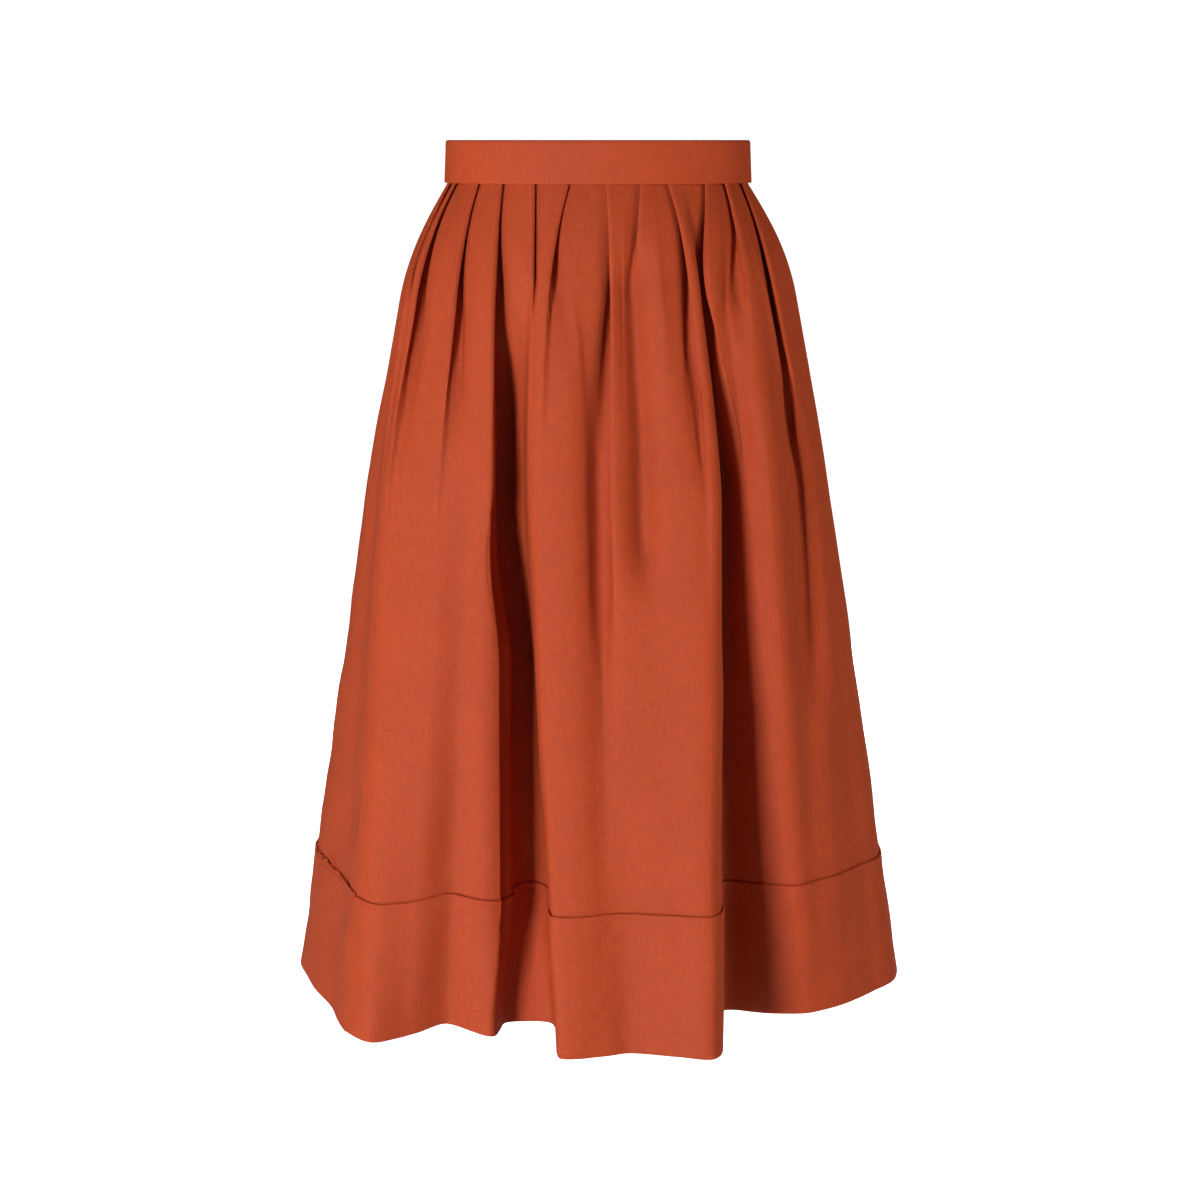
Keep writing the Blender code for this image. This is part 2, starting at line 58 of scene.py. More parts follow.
# ---------------- the sizes that the solids were made from
SEAM_GAP = 0.3 * MM
CLOSED_SEAM = 0.01 * MM          # what is left of a seam's gap where the cloth is sewn together
CLOTH_WALL = 1.0 * MM
WAIST_HALF_WIDTH = 137 * MM
WAIST_HALF_DEPTH = 97 * MM
WAISTBAND_HEIGHT = 38 * MM
WAISTBAND_TAPER = 1.6 * MM
WAISTBAND_OUT = 1.6 * MM
WAISTBAND_IN = 1.0 * MM
WAISTBAND_ROUND = 3.2 * MM       # height over which the folded upper edge rounds inwards
WAISTBAND_FULL = 4.8 * MM        # how far the pleats' turnings fill the band inwards at its lower edge
WAISTBAND_FULL_HEIGHT = 13 * MM  # height over which this filling runs out
WAISTBAND_CORNER = 0.9 * MM
WAISTBAND_SECTIONS = 361         # sections round the waist
ZIP_CLEAR = 9 * MM               # how far from the zip the band stays thin
ZIP_CLEAR_FADE = 12 * MM         # length over which it fills beyond that
ZIP_OPENING = 3.2 * MM
SKIRT_LENGTH = 738 * MM
HIP_DROP = 100 * MM
KNEE_DROP = 266 * MM
HEM_BAND_HEIGHT = 119 * MM
ADDED_FLARE = 0.072
HEM_BAND_LAP = 8 * MM
PLEAT_LAP = 8 * MM
PLEAT_PITCH = 2.2 * MM
PLEAT_STEPS = 10
PLEAT_TIP = 1.1 * MM             # how far a pleat's pressed edge rounds
GROOVE_STEP = 2.5                # the groove beside a pleat: cloth steps past its edge, and half width
GROOVE_WIDTH = 1.5
GROOVE_PEAK = 0.45               # where it is deepest and where it ends, in parts of the pleat's release
GROOVE_END = 1.15
PANEL_PUFF = 1.5 * MM
PUFF_DROP = 60 * MM
PUFF_END = 230 * MM
WAIST_SEAM_Z = -WAISTBAND_HEIGHT / 2
TOP_FLARE = 1.5

# One row for each fold line that runs down the skirt, from the left side seam across the front to the
# right side and round the back: its bearing on the waist, its places at hip, knee and hem in millimetres
# to the right of the axis and in front of it, the way its pleat faces, and the pleat's release and groove.
Fold = namedtuple("Fold", "name bearing hip_x hip_y knee_x knee_y hem_x hem_y faces release groove",
                  defaults=[0, 0, 0])

FOLDS = [
    Fold("side_left", -90, -176, -8, -207, -15, -269, -40),
    Fold("left_flank", -86, -175, 22, -203, 34, -256, 26),
    Fold("left_hollow", -81, -170, 42, -193, 62, -226, 108),
    Fold("left_ridge", -78, -168, 60, -188, 96, -209, 172, 1, 110, 4),
    Fold("pleat_1", -69, -161, 74, -180, 110, -190, 191, 1, 215, 13),
    Fold("pleat_2", -51, -125, 98, -136, 130, -158, 172, 1, 230, 12),
    Fold("left_trough", -45, -106, 108, -112, 135, -126, 149),
    Fold("pleat_3", -38, -90, 116, -90, 142, -88, 178, 1, 190, 14),
    Fold("valley_left", -33, -82, 111, -88, 98, -80, 146),
    Fold("valley_floor", -28, -69, 113, -80, 86, -62, 141),
    Fold("valley_foot", -25, -59, 118, -65, 102, -38, 145),
    Fold("pleat_4", -24, -56, 122, -58, 145, -30, 237, 1, 110, 4),
    Fold("pleat_5", -11, -44, 127, -48, 154, -16, 238, 1, 150, 6),
    Fold("centre_ridge", -5, -24, 127, -20, 155, -5, 234),
    Fold("centre_trough", -1, -3, 124, 1, 142, 8, 229.5),
    Fold("pleat_6", 3.4, 12, 126, 11, 156, 25, 222.5, -1, 230, 11),
    Fold("pleat_7", 16, 34, 125, 42, 156, 66, 233, -1, 95, 4),
    Fold("pleat_8", 27, 83, 118, 96, 154, 93, 239, -1, 200, 12),
    Fold("centre_edge", 31, 87, 115, 102, 149, 102, 214),
    Fold("right_valley", 35, 90, 102, 109, 95, 108, 110),
    Fold("pleat_9", 44, 96, 110, 125, 112, 147, 118, -1, 150, 14),
    Fold("pleat_10", 56, 131, 97, 148, 121, 177, 119, -1, 140, 9),
    Fold("right_trough", 66, 150, 76, 172, 84, 192, 111),
    Fold("pleat_11", 71, 157, 70, 188, 68, 214, 92, -1, 220, 12),
    Fold("right_shoulder", 77, 166, 48, 195, 50, 242, 54),
    Fold("right_flank", 84, 176, 25, 202, 30, 263, 26),
    Fold("side_right", 90, 180, -8, 206, -14, 268, -30),
    Fold("back_pleat_1", 98, 173, -40, 198, -58, 252, -92, -1, 200, 8),
    Fold("back_ridge_1", 106, 164, -60, 186, -84, 228, -140),
    Fold("back_pleat_2", 113, 154, -76, 172, -102, 210, -150, -1, 150, 6),
    Fold("back_pleat_3", 126, 128, -97, 146, -116, 186, -140, -1, 190, 9),
    Fold("back_hollow_1", 133, 112, -105, 126, -113, 156, -126),
    Fold("back_pleat_4", 138, 103, -112, 112, -135, 138, -190, -1, 120, 5),
    Fold("back_pleat_5", 151, 69, -122, 84, -149, 104, -212, -1, 180, 7),
    Fold("back_hollow_2", 158, 50, -123, 60, -146, 76, -190),
    Fold("back_pleat_6", 167, 30, -127, 34, -155, 42, -204, -1, 150, 5),
    Fold("centre_back", 180, 0, -127, 0, -154, 0, -206),
    Fold("back_pleat_7", 194, -31, -127, -38, -152, -50, -212, 1, 160, 5),
    Fold("back_hollow_3", 203, -54, -119, -60, -127, -72, -142),
    Fold("back_pleat_8", 209, -67, -119, -76, -143, -84, -206, 1, 110, 5),
    Fold("back_pleat_9", 222, -99, -111, -113, -134, -128, -198, 1, 170, 8),
    Fold("back_hollow_4", 230, -117, -101, -134, -114, -162, -152),
    Fold("back_pleat_10", 237, -134, -90, -155, -112, -194, -164, 1, 210, 9),
    Fold("back_pleat_11", 250, -159, -66, -183, -86, -232, -122, 1, 140, 6),
    Fold("back_pleat_12", 262, -172, -38, -199, -50, -258, -86, 1, 190, 7),
]
FOLD_NUMBER = {fold.name: number for number, fold in enumerate(FOLDS)}
PLEATS = [fold for fold in FOLDS if fold.faces]

# Crease that a pleat leaves below its pressed part: how deep the cloth steps down past the pleat's edge,
# how far below the waist the crease has gone, and how wide the hollow beside it is (all millimetres).
Crease = namedtuple("Crease", "depth end width")
CREASES = {
    "pleat_1": Crease(7.0, 400, 9), "pleat_2": Crease(7.5, 330, 8), "pleat_3": Crease(6.0, 250, 8),
    "pleat_4": Crease(3.0, 260, 5), "pleat_5": Crease(8.0, 250, 8), "pleat_6": Crease(5.0, 480, 18),
    "pleat_7": Crease(0.5, 150, 8), "pleat_8": Crease(8.0, 400, 9), "pleat_9": Crease(9.0, 160, 8),
    "pleat_10": Crease(4.5, 150, 7), "pleat_11": Crease(7.0, 400, 11),
}
USUAL_CREASE = Crease(5.0, 290, 9)
CREASE_START = 15 * MM           # drop where the creases begin, and the height over which they deepen
CREASE_GROWTH = 70 * MM
CREASE_FADE = 0.4                # part of a crease's length after which it fades
CREASE_RISE = 0.3                # height of the lip at the edge and fall past it, in parts of the depth
CREASE_FALL = 1.3
CREASE_LIP = 5 * MM              # width of the lip before the edge, and of the step past it
CREASE_STEP = 1.0 * MM
CREASE_SOFTENING = 0.014         # how much wider the step grows for each metre below the waist; the lip twice

# Soft troughs (depth below 0) and ridges on the cloth: (drop, cloth step) places down the fold in
# millimetres and steps, its half width and depth in millimetres, how far its ends fade, and how far the
# cloth there is moved to the right and to the front.
SoftFold = namedtuple("SoftFold", "name path width depth fade right front", defaults=[0, 0])
SOFT_FOLDS = [
    SoftFold("rolled_left_edge", [(340, 30.3), (620, 30.3)], 13, -8, 90),
    SoftFold("swung_left_edge", [(420, 31), (620, 31)], 30, 0, 110, 14),
    SoftFold("upper_left_hollow", [(190, 33), (300, 33)], 9, -13, 80),
    SoftFold("lower_left_hollow", [(380, 34.3), (480, 34.4), (600, 34.6)], 14, -20, 110),
    SoftFold("centre_left_hollow", [(150, 57.6), (268, 57.9), (340, 57)], 11, -4, 90),
    SoftFold("centre_right_hollow", [(95, 67.8), (209, 69), (300, 68.3)], 14, 0, 60, 0, -15),
    SoftFold("centre_edge_hollow", [(170, 79), (220, 78.5)], 9, -5, 40),
    SoftFold("right_valley_hollow", [(95, 95.5), (149, 94), (209, 92.5)], 12, -9, 60),
    SoftFold("right_flank_hollow", [(235, 108), (300, 108), (400, 108)], 15, -12, 80),
    SoftFold("left_panel_fill", [(480, 24.6), (700, 24.6)], 46, 0, 200, 0, 19),
]
# Where the hem band's seam is puckered, in cloth steps, and the length and height of a pucker.
PUCKER_FIRST, PUCKER_LAST = -9, 3
PUCKER_LENGTH = 7.5 * MM
PUCKER_HEIGHT = 1.3 * MM
PUCKER_REACH = 9 * MM            # how far from the seam the puckers die out
# How far the seam draws the panels in above the band, and over what height.
SEAM_TUCK_DEPTH = 1.0 * MM
SEAM_TUCK_HEIGHT = 1.1 * MM
# Extra fall of the hem, which hangs a little uneven: the cloth step where it is greatest, how far the hem
# falls there in millimetres, and its half width in steps.
HemFall = namedtuple("HemFall", "step fall width")
HEM_FALLS = [HemFall(12, 2, 5), HemFall(24.5, -7, 3.4)]
HEM_FALL_START = 300 * MM
# Slow waves of the free cloth.  Each row is its share of the whole, and the sines that are multiplied for
# it: radians for each metre along the ring and for each metre down, and a phase.
SWAY_WAVES = [
    (1.0, [(41, 9.1, 0.6), (-6.3, 17, 0.0)]),
    (0.7, [(23.7, -13.9, 2.1)]),
    (0.45, [(71, 23, 4.0), (11, 31, 1.3)]),
]
SWAY_START = 160 * MM
SWAY_GROWTH = 300 * MM
# Rows of faces grow wider below the open pleats: by how much, from which drop and over what height.
ROW_WIDENING = 1.4
ROW_WIDENING_START = 200 * MM
ROW_WIDENING_HEIGHT = 120 * MM
SHARP_ANGLE = math.radians(60)   # edges that turn by more are shaded sharp

# The pieces of cloth between two fold lines: the CAD node that each one dresses, and the flat size that it
# is cut to, its greatest width, its length and its area, in metres and square metres.
ClothCut = namedtuple("ClothCut", "name node first last width length area")
PANELS = [
    ClothCut("front_panel", "skirt_front", "side_left", "side_right", 1.06, 0.65, 0.56),
    ClothCut("back_panel_right", "skirt_back_right", "side_right", "centre_back", 0.44, 0.65, 0.212),
    ClothCut("back_panel_left", "skirt_back_left", "centre_back", "side_left", 0.44, 0.65, 0.212),
]
HEM_BANDS = [
    ClothCut("hem_band_front_cloth", "hem_band_front", "side_left", "side_right", 1.11, 0.121, 0.129),
    ClothCut("hem_band_back_cloth", "hem_band_back", "side_right", "side_left", 0.96, 0.121, 0.109),
]


# ---------------- sizes and colours that a user would change
def length_property(name, description, default):
    """A length in metres."""
    return FloatProperty(name=name, description=description, default=default, unit="LENGTH")


def colour_property(name, description, default):
    """A colour without its alpha."""
    return FloatVectorProperty(name=name, description=description, default=default, subtype="COLOR", size=3,
                               min=0, max=1)


def power_property(name, description, default):
    """A light's power in watts."""
    return FloatProperty(name=name, description=description, default=default, unit="POWER")


class SkirtClothSettings(bpy.types.PropertyGroup):
    """Cloth of the panels, the waistband and the hem band."""
    colour: colour_property("Cloth colour", "Colour of the dyed cloth", (0.40, 0.054, 0.0155))
    thread_pitch: length_property(
        "Thread pitch", "Distance from one thread of the weave to the next", 0.75 * MM)
    columns: IntProperty(
        name="Columns in a step", description="How finely a step of the fold table is divided", default=4,
        min=1, max=6)
    row_spacing: length_property("Row spacing", "Height of a row of faces where the pleats open", 5 * MM)
    sway: length_property("Unevenness", "How far the free cloth wanders from an even fall", 1.1 * MM)


class SkirtStitchSettings(bpy.types.PropertyGroup):
    """Row of stitches along the hem band."""
    colour: colour_property("Thread colour", "Colour of the sewing thread", (0.52, 0.085, 0.03))
    length: length_property("Stitch length", "Length of one stitch", 2.1 * MM)
    pitch: length_property("Stitch pitch", "Distance from one stitch to the next", 2.9 * MM)
    thickness: length_property("Thread thickness", "Thickness of the thread", 0.34 * MM)
    below_edge: length_property(
        "Below the edge", "Distance of the stitches from the hem band's upper edge", 5.2 * MM)
    turn: FloatProperty(
        name="Stitch turn", description="Greatest turn of a stitch out of its row", default=0.07,
        subtype="ANGLE")
    seed: IntProperty(name="Seed", description="Seed of the stitches' small turns", default=7)


class SkirtZipSettings(bpy.types.PropertyGroup):
    """Zip behind the centre-back seam."""
    turn_pitch: length_property("Coil pitch", "Distance from one turn of the coil to the next", 1.25 * MM)
    coil_width: length_property("Coil width", "Width of the closed coil", 4.6 * MM)
    coil_thickness: length_property("Coil thickness", "Thickness of the closed coil", 1.1 * MM)
    colour: colour_property("Zip colour", "Colour of coil and tape", (0.36, 0.05, 0.018))
    enamel: colour_property("Enamel colour", "Colour of the slider and its tab", (0.42, 0.055, 0.02))


class SkirtStageSettings(bpy.types.PropertyGroup):
    """Floor, lights and camera."""
    floor_height: length_property("Floor height", "Height of the floor, where a wearer would stand", -1.08)
    key_power: power_property("Key light", "Power of the large soft light at the left", 137.0)
    side_power: power_property("Side lights", "Power of the soft lights at the sides", 16.0)
    back_power: power_property("Back light", "Power of the large soft light behind the skirt", 105.0)
    fill_strength: FloatProperty(
        name="Fill light", description="Strength of the even light from all round", default=0.02)
    camera_distance: length_property(
        "Camera distance", "Distance of the camera in front of the waist's centre", 2.5)


# ---------------- the skirt's form
def hermite(start, end, start_slope, end_slope, part):
    """Cubic from start to end; the slopes are per whole interval."""
    square, cube = part * part, part ** 3
    return ((2 * cube - 3 * square + 1) * start + (cube - 2 * square + part) * start_slope
            + (3 * square - 2 * cube) * end + (cube - square) * end_slope)


def smooth_step(value):
    """0 below 0, 1 above 1, and soft between."""
    value = np.clip(value, 0.0, 1.0)
    return value * value * (3 - 2 * value)


def swell(drop, peak, end):
    """Rises from 0 at the waist to 1 at peak and is 0 again at end."""
    return smooth_step(drop / peak) * (1 - smooth_step((drop - peak) / (end - peak)))


def fold_places(drop):
    """Plan places of all fold lines at one drop, from the waist, hip, knee and hem sections."""
    bearing = np.radians([fold.bearing for fold in FOLDS])
    waist = np.stack([WAIST_HALF_WIDTH * np.sin(bearing), -WAIST_HALF_DEPTH * np.cos(bearing)], axis=1)
    hip = np.array([(fold.hip_x, -fold.hip_y) for fold in FOLDS]) * MM * (1 + ADDED_FLARE * HIP_DROP)
    knee = np.array([(fold.knee_x, -fold.knee_y) for fold in FOLDS]) * MM * (1 + ADDED_FLARE * KNEE_DROP)
    hem = np.array([(fold.hem_x, -fold.hem_y) for fold in FOLDS]) * MM * (1 + ADDED_FLARE * SKIRT_LENGTH)
    upper = (knee - hip) / (KNEE_DROP - HIP_DROP)
    lower = (hem - knee) / (SKIRT_LENGTH - KNEE_DROP)
    if drop <= HIP_DROP:
        return hermite(waist, hip, TOP_FLARE * (hip - waist), upper * HIP_DROP, drop / HIP_DROP)
    if drop <= KNEE_DROP:
        span = KNEE_DROP - HIP_DROP
        return hermite(hip, knee, upper * span, (upper + lower) / 2 * span, (drop - HIP_DROP) / span)
    return knee + lower * (drop - KNEE_DROP)


def smooth_ring(places, numbers):
    """Points at fractional numbers of the closed curve through the places."""
    count = len(places)
    first = np.floor(numbers).astype(int)
    part = (numbers - first)[:, None]
    before, start, end, after = (places[(first + shift) % count] for shift in (-1, 0, 1, 2))

    def knot(a, b):
        return np.sqrt(np.linalg.norm(b - a, axis=1))[:, None]

    k0, k1, k2 = knot(before, start), knot(start, end), knot(end, after)
    start_slope = end - start + k1 * ((start - before) / k0 - (end - before) / (k0 + k1))
    end_slope = end - start + k1 * ((after - end) / k2 - (after - start) / (k1 + k2))
    return hermite(start, end, start_slope, end_slope, part)


def outward(points):
    """Unit plan normals of a closed line of points, pointing away from the body."""
    along = np.roll(points, -1, axis=0) - np.roll(points, 1, axis=0)
    along /= np.linalg.norm(along, axis=1)[:, None]
    return np.stack([along[:, 1], -along[:, 0]], axis=1)


def cloth_rows():
    """Row number in FOLDS for each whole step of cloth, with PLEAT_STEPS steps from pleat to pleat."""
    hem = fold_places(SKIRT_LENGTH)
    pleats = [number for number, fold in enumerate(FOLDS) if fold.faces]
    rows = []
    for place, pleat in enumerate(pleats):
        following = pleats[(place + 1) % len(pleats)]
        if following <= pleat:
            following += len(FOLDS)
        lines = list(range(pleat, following))
        widths = [np.linalg.norm(hem[(line + 1) % len(FOLDS)] - hem[line % len(FOLDS)]) for line in lines]
        spare = PLEAT_STEPS - len(lines)
        ideal = np.array(widths) / sum(widths) * spare
        steps = np.floor(ideal).astype(int)
        for line in np.argsort(steps - ideal)[:spare - steps.sum()]:
            steps[line] += 1
        for line, extra in zip(lines, steps):
            rows += [line + index / (extra + 1) for index in range(extra + 1)]
    return np.array(rows) % len(FOLDS)


CLOTH_ROWS = cloth_rows()
CLOTH_COUNT = len(CLOTH_ROWS)
DENSE_STEPS = 16


def pleat_shape(ahead_width, behind_width, rise_behind, rise_ahead):
    """Steps, places along the waist and depths of a pressed pleat that faces ahead."""
    lap, pitch, tip = PLEAT_LAP, PLEAT_PITCH, PLEAT_TIP
    slope = -rise_behind / behind_width
    deep = -lap * slope
    half = PLEAT_STEPS / 2
    return np.array([
        (-half, -behind_width, rise_behind), (-1, -tip, 0.0), (0, 0.4 * tip, -0.5 * pitch), (1, -tip, -pitch),
        (2, -lap, deep - pitch), (3, -lap, deep - 2 * pitch), (4, tip, -2 * pitch),
        (half, ahead_width, rise_ahead)])


def pressed_places(places):
    """Where every cloth step lies while all pleats are pressed flat: its place on the ring, and its depth."""
    numbers = np.arange(len(FOLDS) * DENSE_STEPS + 1) / DENSE_STEPS
    dense = smooth_ring(places, numbers)
    length = np.concatenate([[0], np.cumsum(np.linalg.norm(np.diff(dense, axis=0), axis=1))])
    round_length = length[-1]
    normals = outward(dense[:-1])
    normals = np.vstack([normals, normals[:1]])
    edges = [length[FOLD_NUMBER[fold.name] * DENSE_STEPS] for fold in PLEATS]
    half = PLEAT_STEPS // 2
    steps = np.arange(-half, half)
    along, depth = np.zeros(CLOTH_COUNT), np.zeros(CLOTH_COUNT)
    for place, fold in enumerate(PLEATS):
        following, last = PLEATS[(place + 1) % len(PLEATS)], PLEATS[place - 1]
        ahead = ((edges[(place + 1) % len(PLEATS)] - edges[place]) % round_length) / 2
        behind = ((edges[place] - edges[place - 1]) % round_length) / 2
        level_here, level_start = (-2.0, 0.0) if fold.faces > 0 else (0.0, -2.0)
        level_next = 0.0 if following.faces > 0 else -2.0
        level_last = -2.0 if last.faces > 0 else 0.0
        rise_ahead = (level_here + level_next) / 2 * PLEAT_PITCH
        rise_behind = (level_last + level_start) / 2 * PLEAT_PITCH
        if fold.faces > 0:
            shape = pleat_shape(ahead, behind, rise_behind, rise_ahead)
        else:
            shape = (pleat_shape(behind, ahead, rise_ahead, rise_behind) * [-1, -1, 1])[::-1]
        index = (place * PLEAT_STEPS + steps) % CLOTH_COUNT
        along[index] = (edges[place] + np.interp(steps, shape[:, 0], shape[:, 1])) % round_length
        depth[index] = np.interp(steps, shape[:, 0], shape[:, 2])
    on_ring = np.stack([np.interp(along, length, dense[:, axis]) for axis in (0, 1)], axis=1)
    normal = np.stack([np.interp(along, length, normals[:, axis]) for axis in (0, 1)], axis=1)
    normal /= np.linalg.norm(normal, axis=1)[:, None]
    return on_ring, normal * depth[:, None]


STEP_OFFSETS = (np.arange(CLOTH_COUNT) + PLEAT_STEPS // 2) % PLEAT_STEPS - PLEAT_STEPS // 2
STEP_PLEATS = ((np.arange(CLOTH_COUNT) + PLEAT_STEPS // 2) // PLEAT_STEPS) % len(PLEATS)
STEP_FACES = np.array([PLEATS[place].faces for place in STEP_PLEATS])
STEP_RELEASE = np.array([PLEATS[place].release for place in STEP_PLEATS]) * MM
STEP_GROOVE = np.array([PLEATS[place].groove for place in STEP_PLEATS]) * MM


def skirt_ring(drop):
    """The cloth's middle line, one point for each cloth step, at one drop below the waist seam."""
    places = fold_places(drop)
    open_points = smooth_ring(places, CLOTH_ROWS)
    on_ring, layer = pressed_places(places)
    normals = outward(open_points)
    closed = (1 - smooth_step(drop / STEP_RELEASE))[:, None]
    hollow = np.exp(-((STEP_OFFSETS * STEP_FACES - GROOVE_STEP) / GROOVE_WIDTH) ** 2) * STEP_GROOVE
    hollow = hollow * swell(drop, GROOVE_PEAK * STEP_RELEASE, GROOVE_END * STEP_RELEASE)
    puff = np.sin(math.pi * abs(STEP_OFFSETS) / PLEAT_STEPS) ** 2 * PANEL_PUFF
    puff = puff * swell(drop, PUFF_DROP, PUFF_END)
    parted = 1 - (1 - closed) ** 2
    return (closed * on_ring + (1 - closed) * open_points + parted * layer
            + normals * (puff - hollow)[:, None])


def sway(along, drop, amount):
    """Slow unevenness of the free cloth, in metres, from its place along the ring and its drop."""
    slow = 0.0
    for share, sines in SWAY_WAVES:
        for per_length, per_drop, phase in sines:
            share = share * np.sin(along * per_length + drop * per_drop + phase)
        slow = slow + share
    return amount * slow * smooth_step((drop - SWAY_START) / SWAY_GROWTH)


def creases(along, round_length, drop, columns):
    """Steps down past the pleats' edges, sharp on the edge's side and soft beyond it."""
    push = np.zeros(len(along))
    growth = smooth_step((drop - CREASE_START) / CREASE_GROWTH)
    lip_width = CREASE_LIP + CREASE_SOFTENING * 2 * drop
    step_width = CREASE_STEP + CREASE_SOFTENING * drop
    for place, fold in enumerate(PLEATS):
        crease = CREASES.get(fold.name, USUAL_CREASE)
        fade = smooth_step((drop / MM / crease.end - CREASE_FADE) / (1 - CREASE_FADE))
        past = (along - along[place * PLEAT_STEPS * columns] + round_length / 2) % round_length
        past = (past - round_length / 2) * fold.faces
        lip = CREASE_RISE * np.exp(np.minimum(past, 0) / lip_width)
        fall = CREASE_FALL * (1 - np.exp(-np.maximum(past, 0) / step_width))
        hollow = np.exp(-(past / (crease.width * MM)) ** 2) * (CREASE_RISE - fall)
        push += crease.depth * MM * growth * (1 - fade) * np.where(past < 0, lip, hollow)
    return push


def fine_ring(drop, settings):
    """The cloth's middle line with several points for each step, and the length along it from the first."""
    columns = settings.columns
    numbers = np.arange(CLOTH_COUNT * columns) / columns
    ring = smooth_ring(skirt_ring(drop), numbers)
    gaps = np.linalg.norm(np.roll(ring, -1, axis=0) - ring, axis=1)
    along = np.concatenate([[0], np.cumsum(gaps)[:-1]])
    push = sway(along, drop, settings.sway) + creases(along, gaps.sum(), drop, columns)
    for fold in SOFT_FOLDS:
        drops = np.array([place[0] for place in fold.path]) * MM
        fade = fold.fade * MM
        strength = smooth_step((drop - drops[0] + fade) / fade)
        strength *= smooth_step((drops[-1] + fade - drop) / fade)
        if strength > 0:
            step = np.interp(drop, drops, [place[1] for place in fold.path]) % CLOTH_COUNT
            centre = np.interp(step * columns, np.arange(len(along)), along)
            apart = (along - centre + gaps.sum() / 2) % gaps.sum() - gaps.sum() / 2
            near = strength * np.exp(-(apart / (fold.width * MM)) ** 2)
            push += near * fold.depth * MM
            ring += near[:, None] * np.array([fold.right, -fold.front]) * MM
    return ring + outward(ring) * push[:, None], along


# ---------------- meshes
def wall_mesh(name, outer, inner, coordinates):
    """Closed wall between two grids of points, [row, column, xyz], rows from top to bottom, with UVs."""
    rows, columns = outer.shape[:2]
    number = np.arange(rows * columns).reshape(rows, columns)
    far = number + rows * columns

    def quads(a, b, c, d):
        return np.stack([a.ravel(), b.ravel(), c.ravel(), d.ravel()], axis=1)

    faces = [
        quads(number[:-1, :-1], number[1:, :-1], number[1:, 1:], number[:-1, 1:]),
        quads(far[:-1, :-1], far[:-1, 1:], far[1:, 1:], far[1:, :-1]),
        quads(number[:-1, 0], far[:-1, 0], far[1:, 0], number[1:, 0]),
        quads(number[1:, -1], far[1:, -1], far[:-1, -1], number[:-1, -1]),
        quads(number[0, :-1], number[0, 1:], far[0, 1:], far[0, :-1]),
        quads(number[-1, 1:], number[-1, :-1], far[-1, :-1], far[-1, 1:]),
    ]
    faces = np.concatenate(faces)
    points = np.concatenate([outer.reshape(-1, 3), inner.reshape(-1, 3)])
    mesh = bpy.data.meshes.new(name)
    mesh.from_pydata(points.tolist(), [], faces.tolist())
    places = np.concatenate([coordinates.reshape(-1, 2)] * 2)[faces.ravel()]
    mesh.uv_layers.new(name="cloth").data.foreach_set("uv", places.ravel())
    mesh.shade_smooth()
    mesh.set_sharp_from_angle(angle=SHARP_ANGLE)
    return mesh


def add_piece(name, mesh, finish, slot, body, *nodes):
    """Links a finished piece, hangs it under its body and hides the nodes that it stands for; the slot is not
    used.
    """
    piece = bpy.data.objects.new(name, mesh)
    bpy.context.scene.collection.objects.link(piece)
    if finish and not mesh.materials:
        mesh.materials.append(finish)
    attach(piece, body)
    if nodes:
        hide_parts(*nodes)
    return piece


def surface_normals(grid):
    """Unit normals of a grid of points, [row, column, xyz], outwards."""
    down = np.gradient(grid, axis=0)
    along = np.gradient(grid, axis=1)
    normals = np.cross(down, along)
    return normals / np.linalg.norm(normals, axis=2)[:, :, None]


def puckers(steps, along, drop):
    """How far the cloth is drawn down beside the hem band's puckered seam, in metres."""
    middle, reach = (PUCKER_FIRST + PUCKER_LAST) / 2, (PUCKER_LAST - PUCKER_FIRST) / 2
    apart = (steps - middle + CLOTH_COUNT / 2) % CLOTH_COUNT - CLOTH_COUNT / 2
    turn = along * 2 * math.pi / PUCKER_LENGTH
    wave = np.sin(turn) + 0.5 * np.sin(1.85 * turn + 1.0)
    near = np.exp(-((drop - SKIRT_LENGTH + HEM_BAND_HEIGHT) / PUCKER_REACH) ** 2)
    return wave * PUCKER_HEIGHT * smooth_step((1 - abs(apart) / reach) * 3) * near


def cloth_grid(first, last, drops, settings):
    """Middle surface of the cloth from one fold line to another, with its lengths along and down."""
    columns = settings.columns
    first_step = int(np.argmin(abs(CLOTH_ROWS - FOLD_NUMBER[first]))) * columns
    last_step = int(np.argmin(abs(CLOTH_ROWS - FOLD_NUMBER[last]))) * columns
    count = CLOTH_COUNT * columns
    if last_step <= first_step:
        last_step += count
    steps = np.arange(first_step - 1, last_step + 2) % count
    grid = []
    fall = sum(dip.fall * MM * np.exp(-((steps / columns - dip.step) / dip.width) ** 2) for dip in HEM_FALLS)
    for drop in drops:
        ring, along = fine_ring(drop, settings)
        hang = drop + fall * smooth_step((drop - HEM_FALL_START) / (SKIRT_LENGTH - HEM_FALL_START))
        hang = hang + puckers(steps / columns, along[steps], drop)
        grid.append(np.column_stack([ring[steps], WAIST_SEAM_Z - SEAM_GAP - hang]))
    grid = np.array(grid)
    normals = surface_normals(grid)[:, 1:-1]
    grid = grid[:, 1:-1]
    for end, neighbour in ((0, 1), (-1, -2)):
        towards = grid[:, neighbour] - grid[:, end]
        grid[:, end] += towards / np.linalg.norm(towards, axis=1)[:, None] * CLOSED_SEAM / 2
    along = np.linalg.norm(np.diff(grid, axis=1), axis=2)
    along = np.concatenate([np.zeros((len(drops), 1)), np.cumsum(along, axis=1)], axis=1)
    down = np.linalg.norm(np.diff(grid, axis=0), axis=2)
    down = np.concatenate([np.zeros((1, down.shape[1])), np.cumsum(down, axis=0)], axis=0)
    along -= along[:, along.shape[1] // 2][:, None]
    return grid, normals, np.stack([along, -down], axis=2)


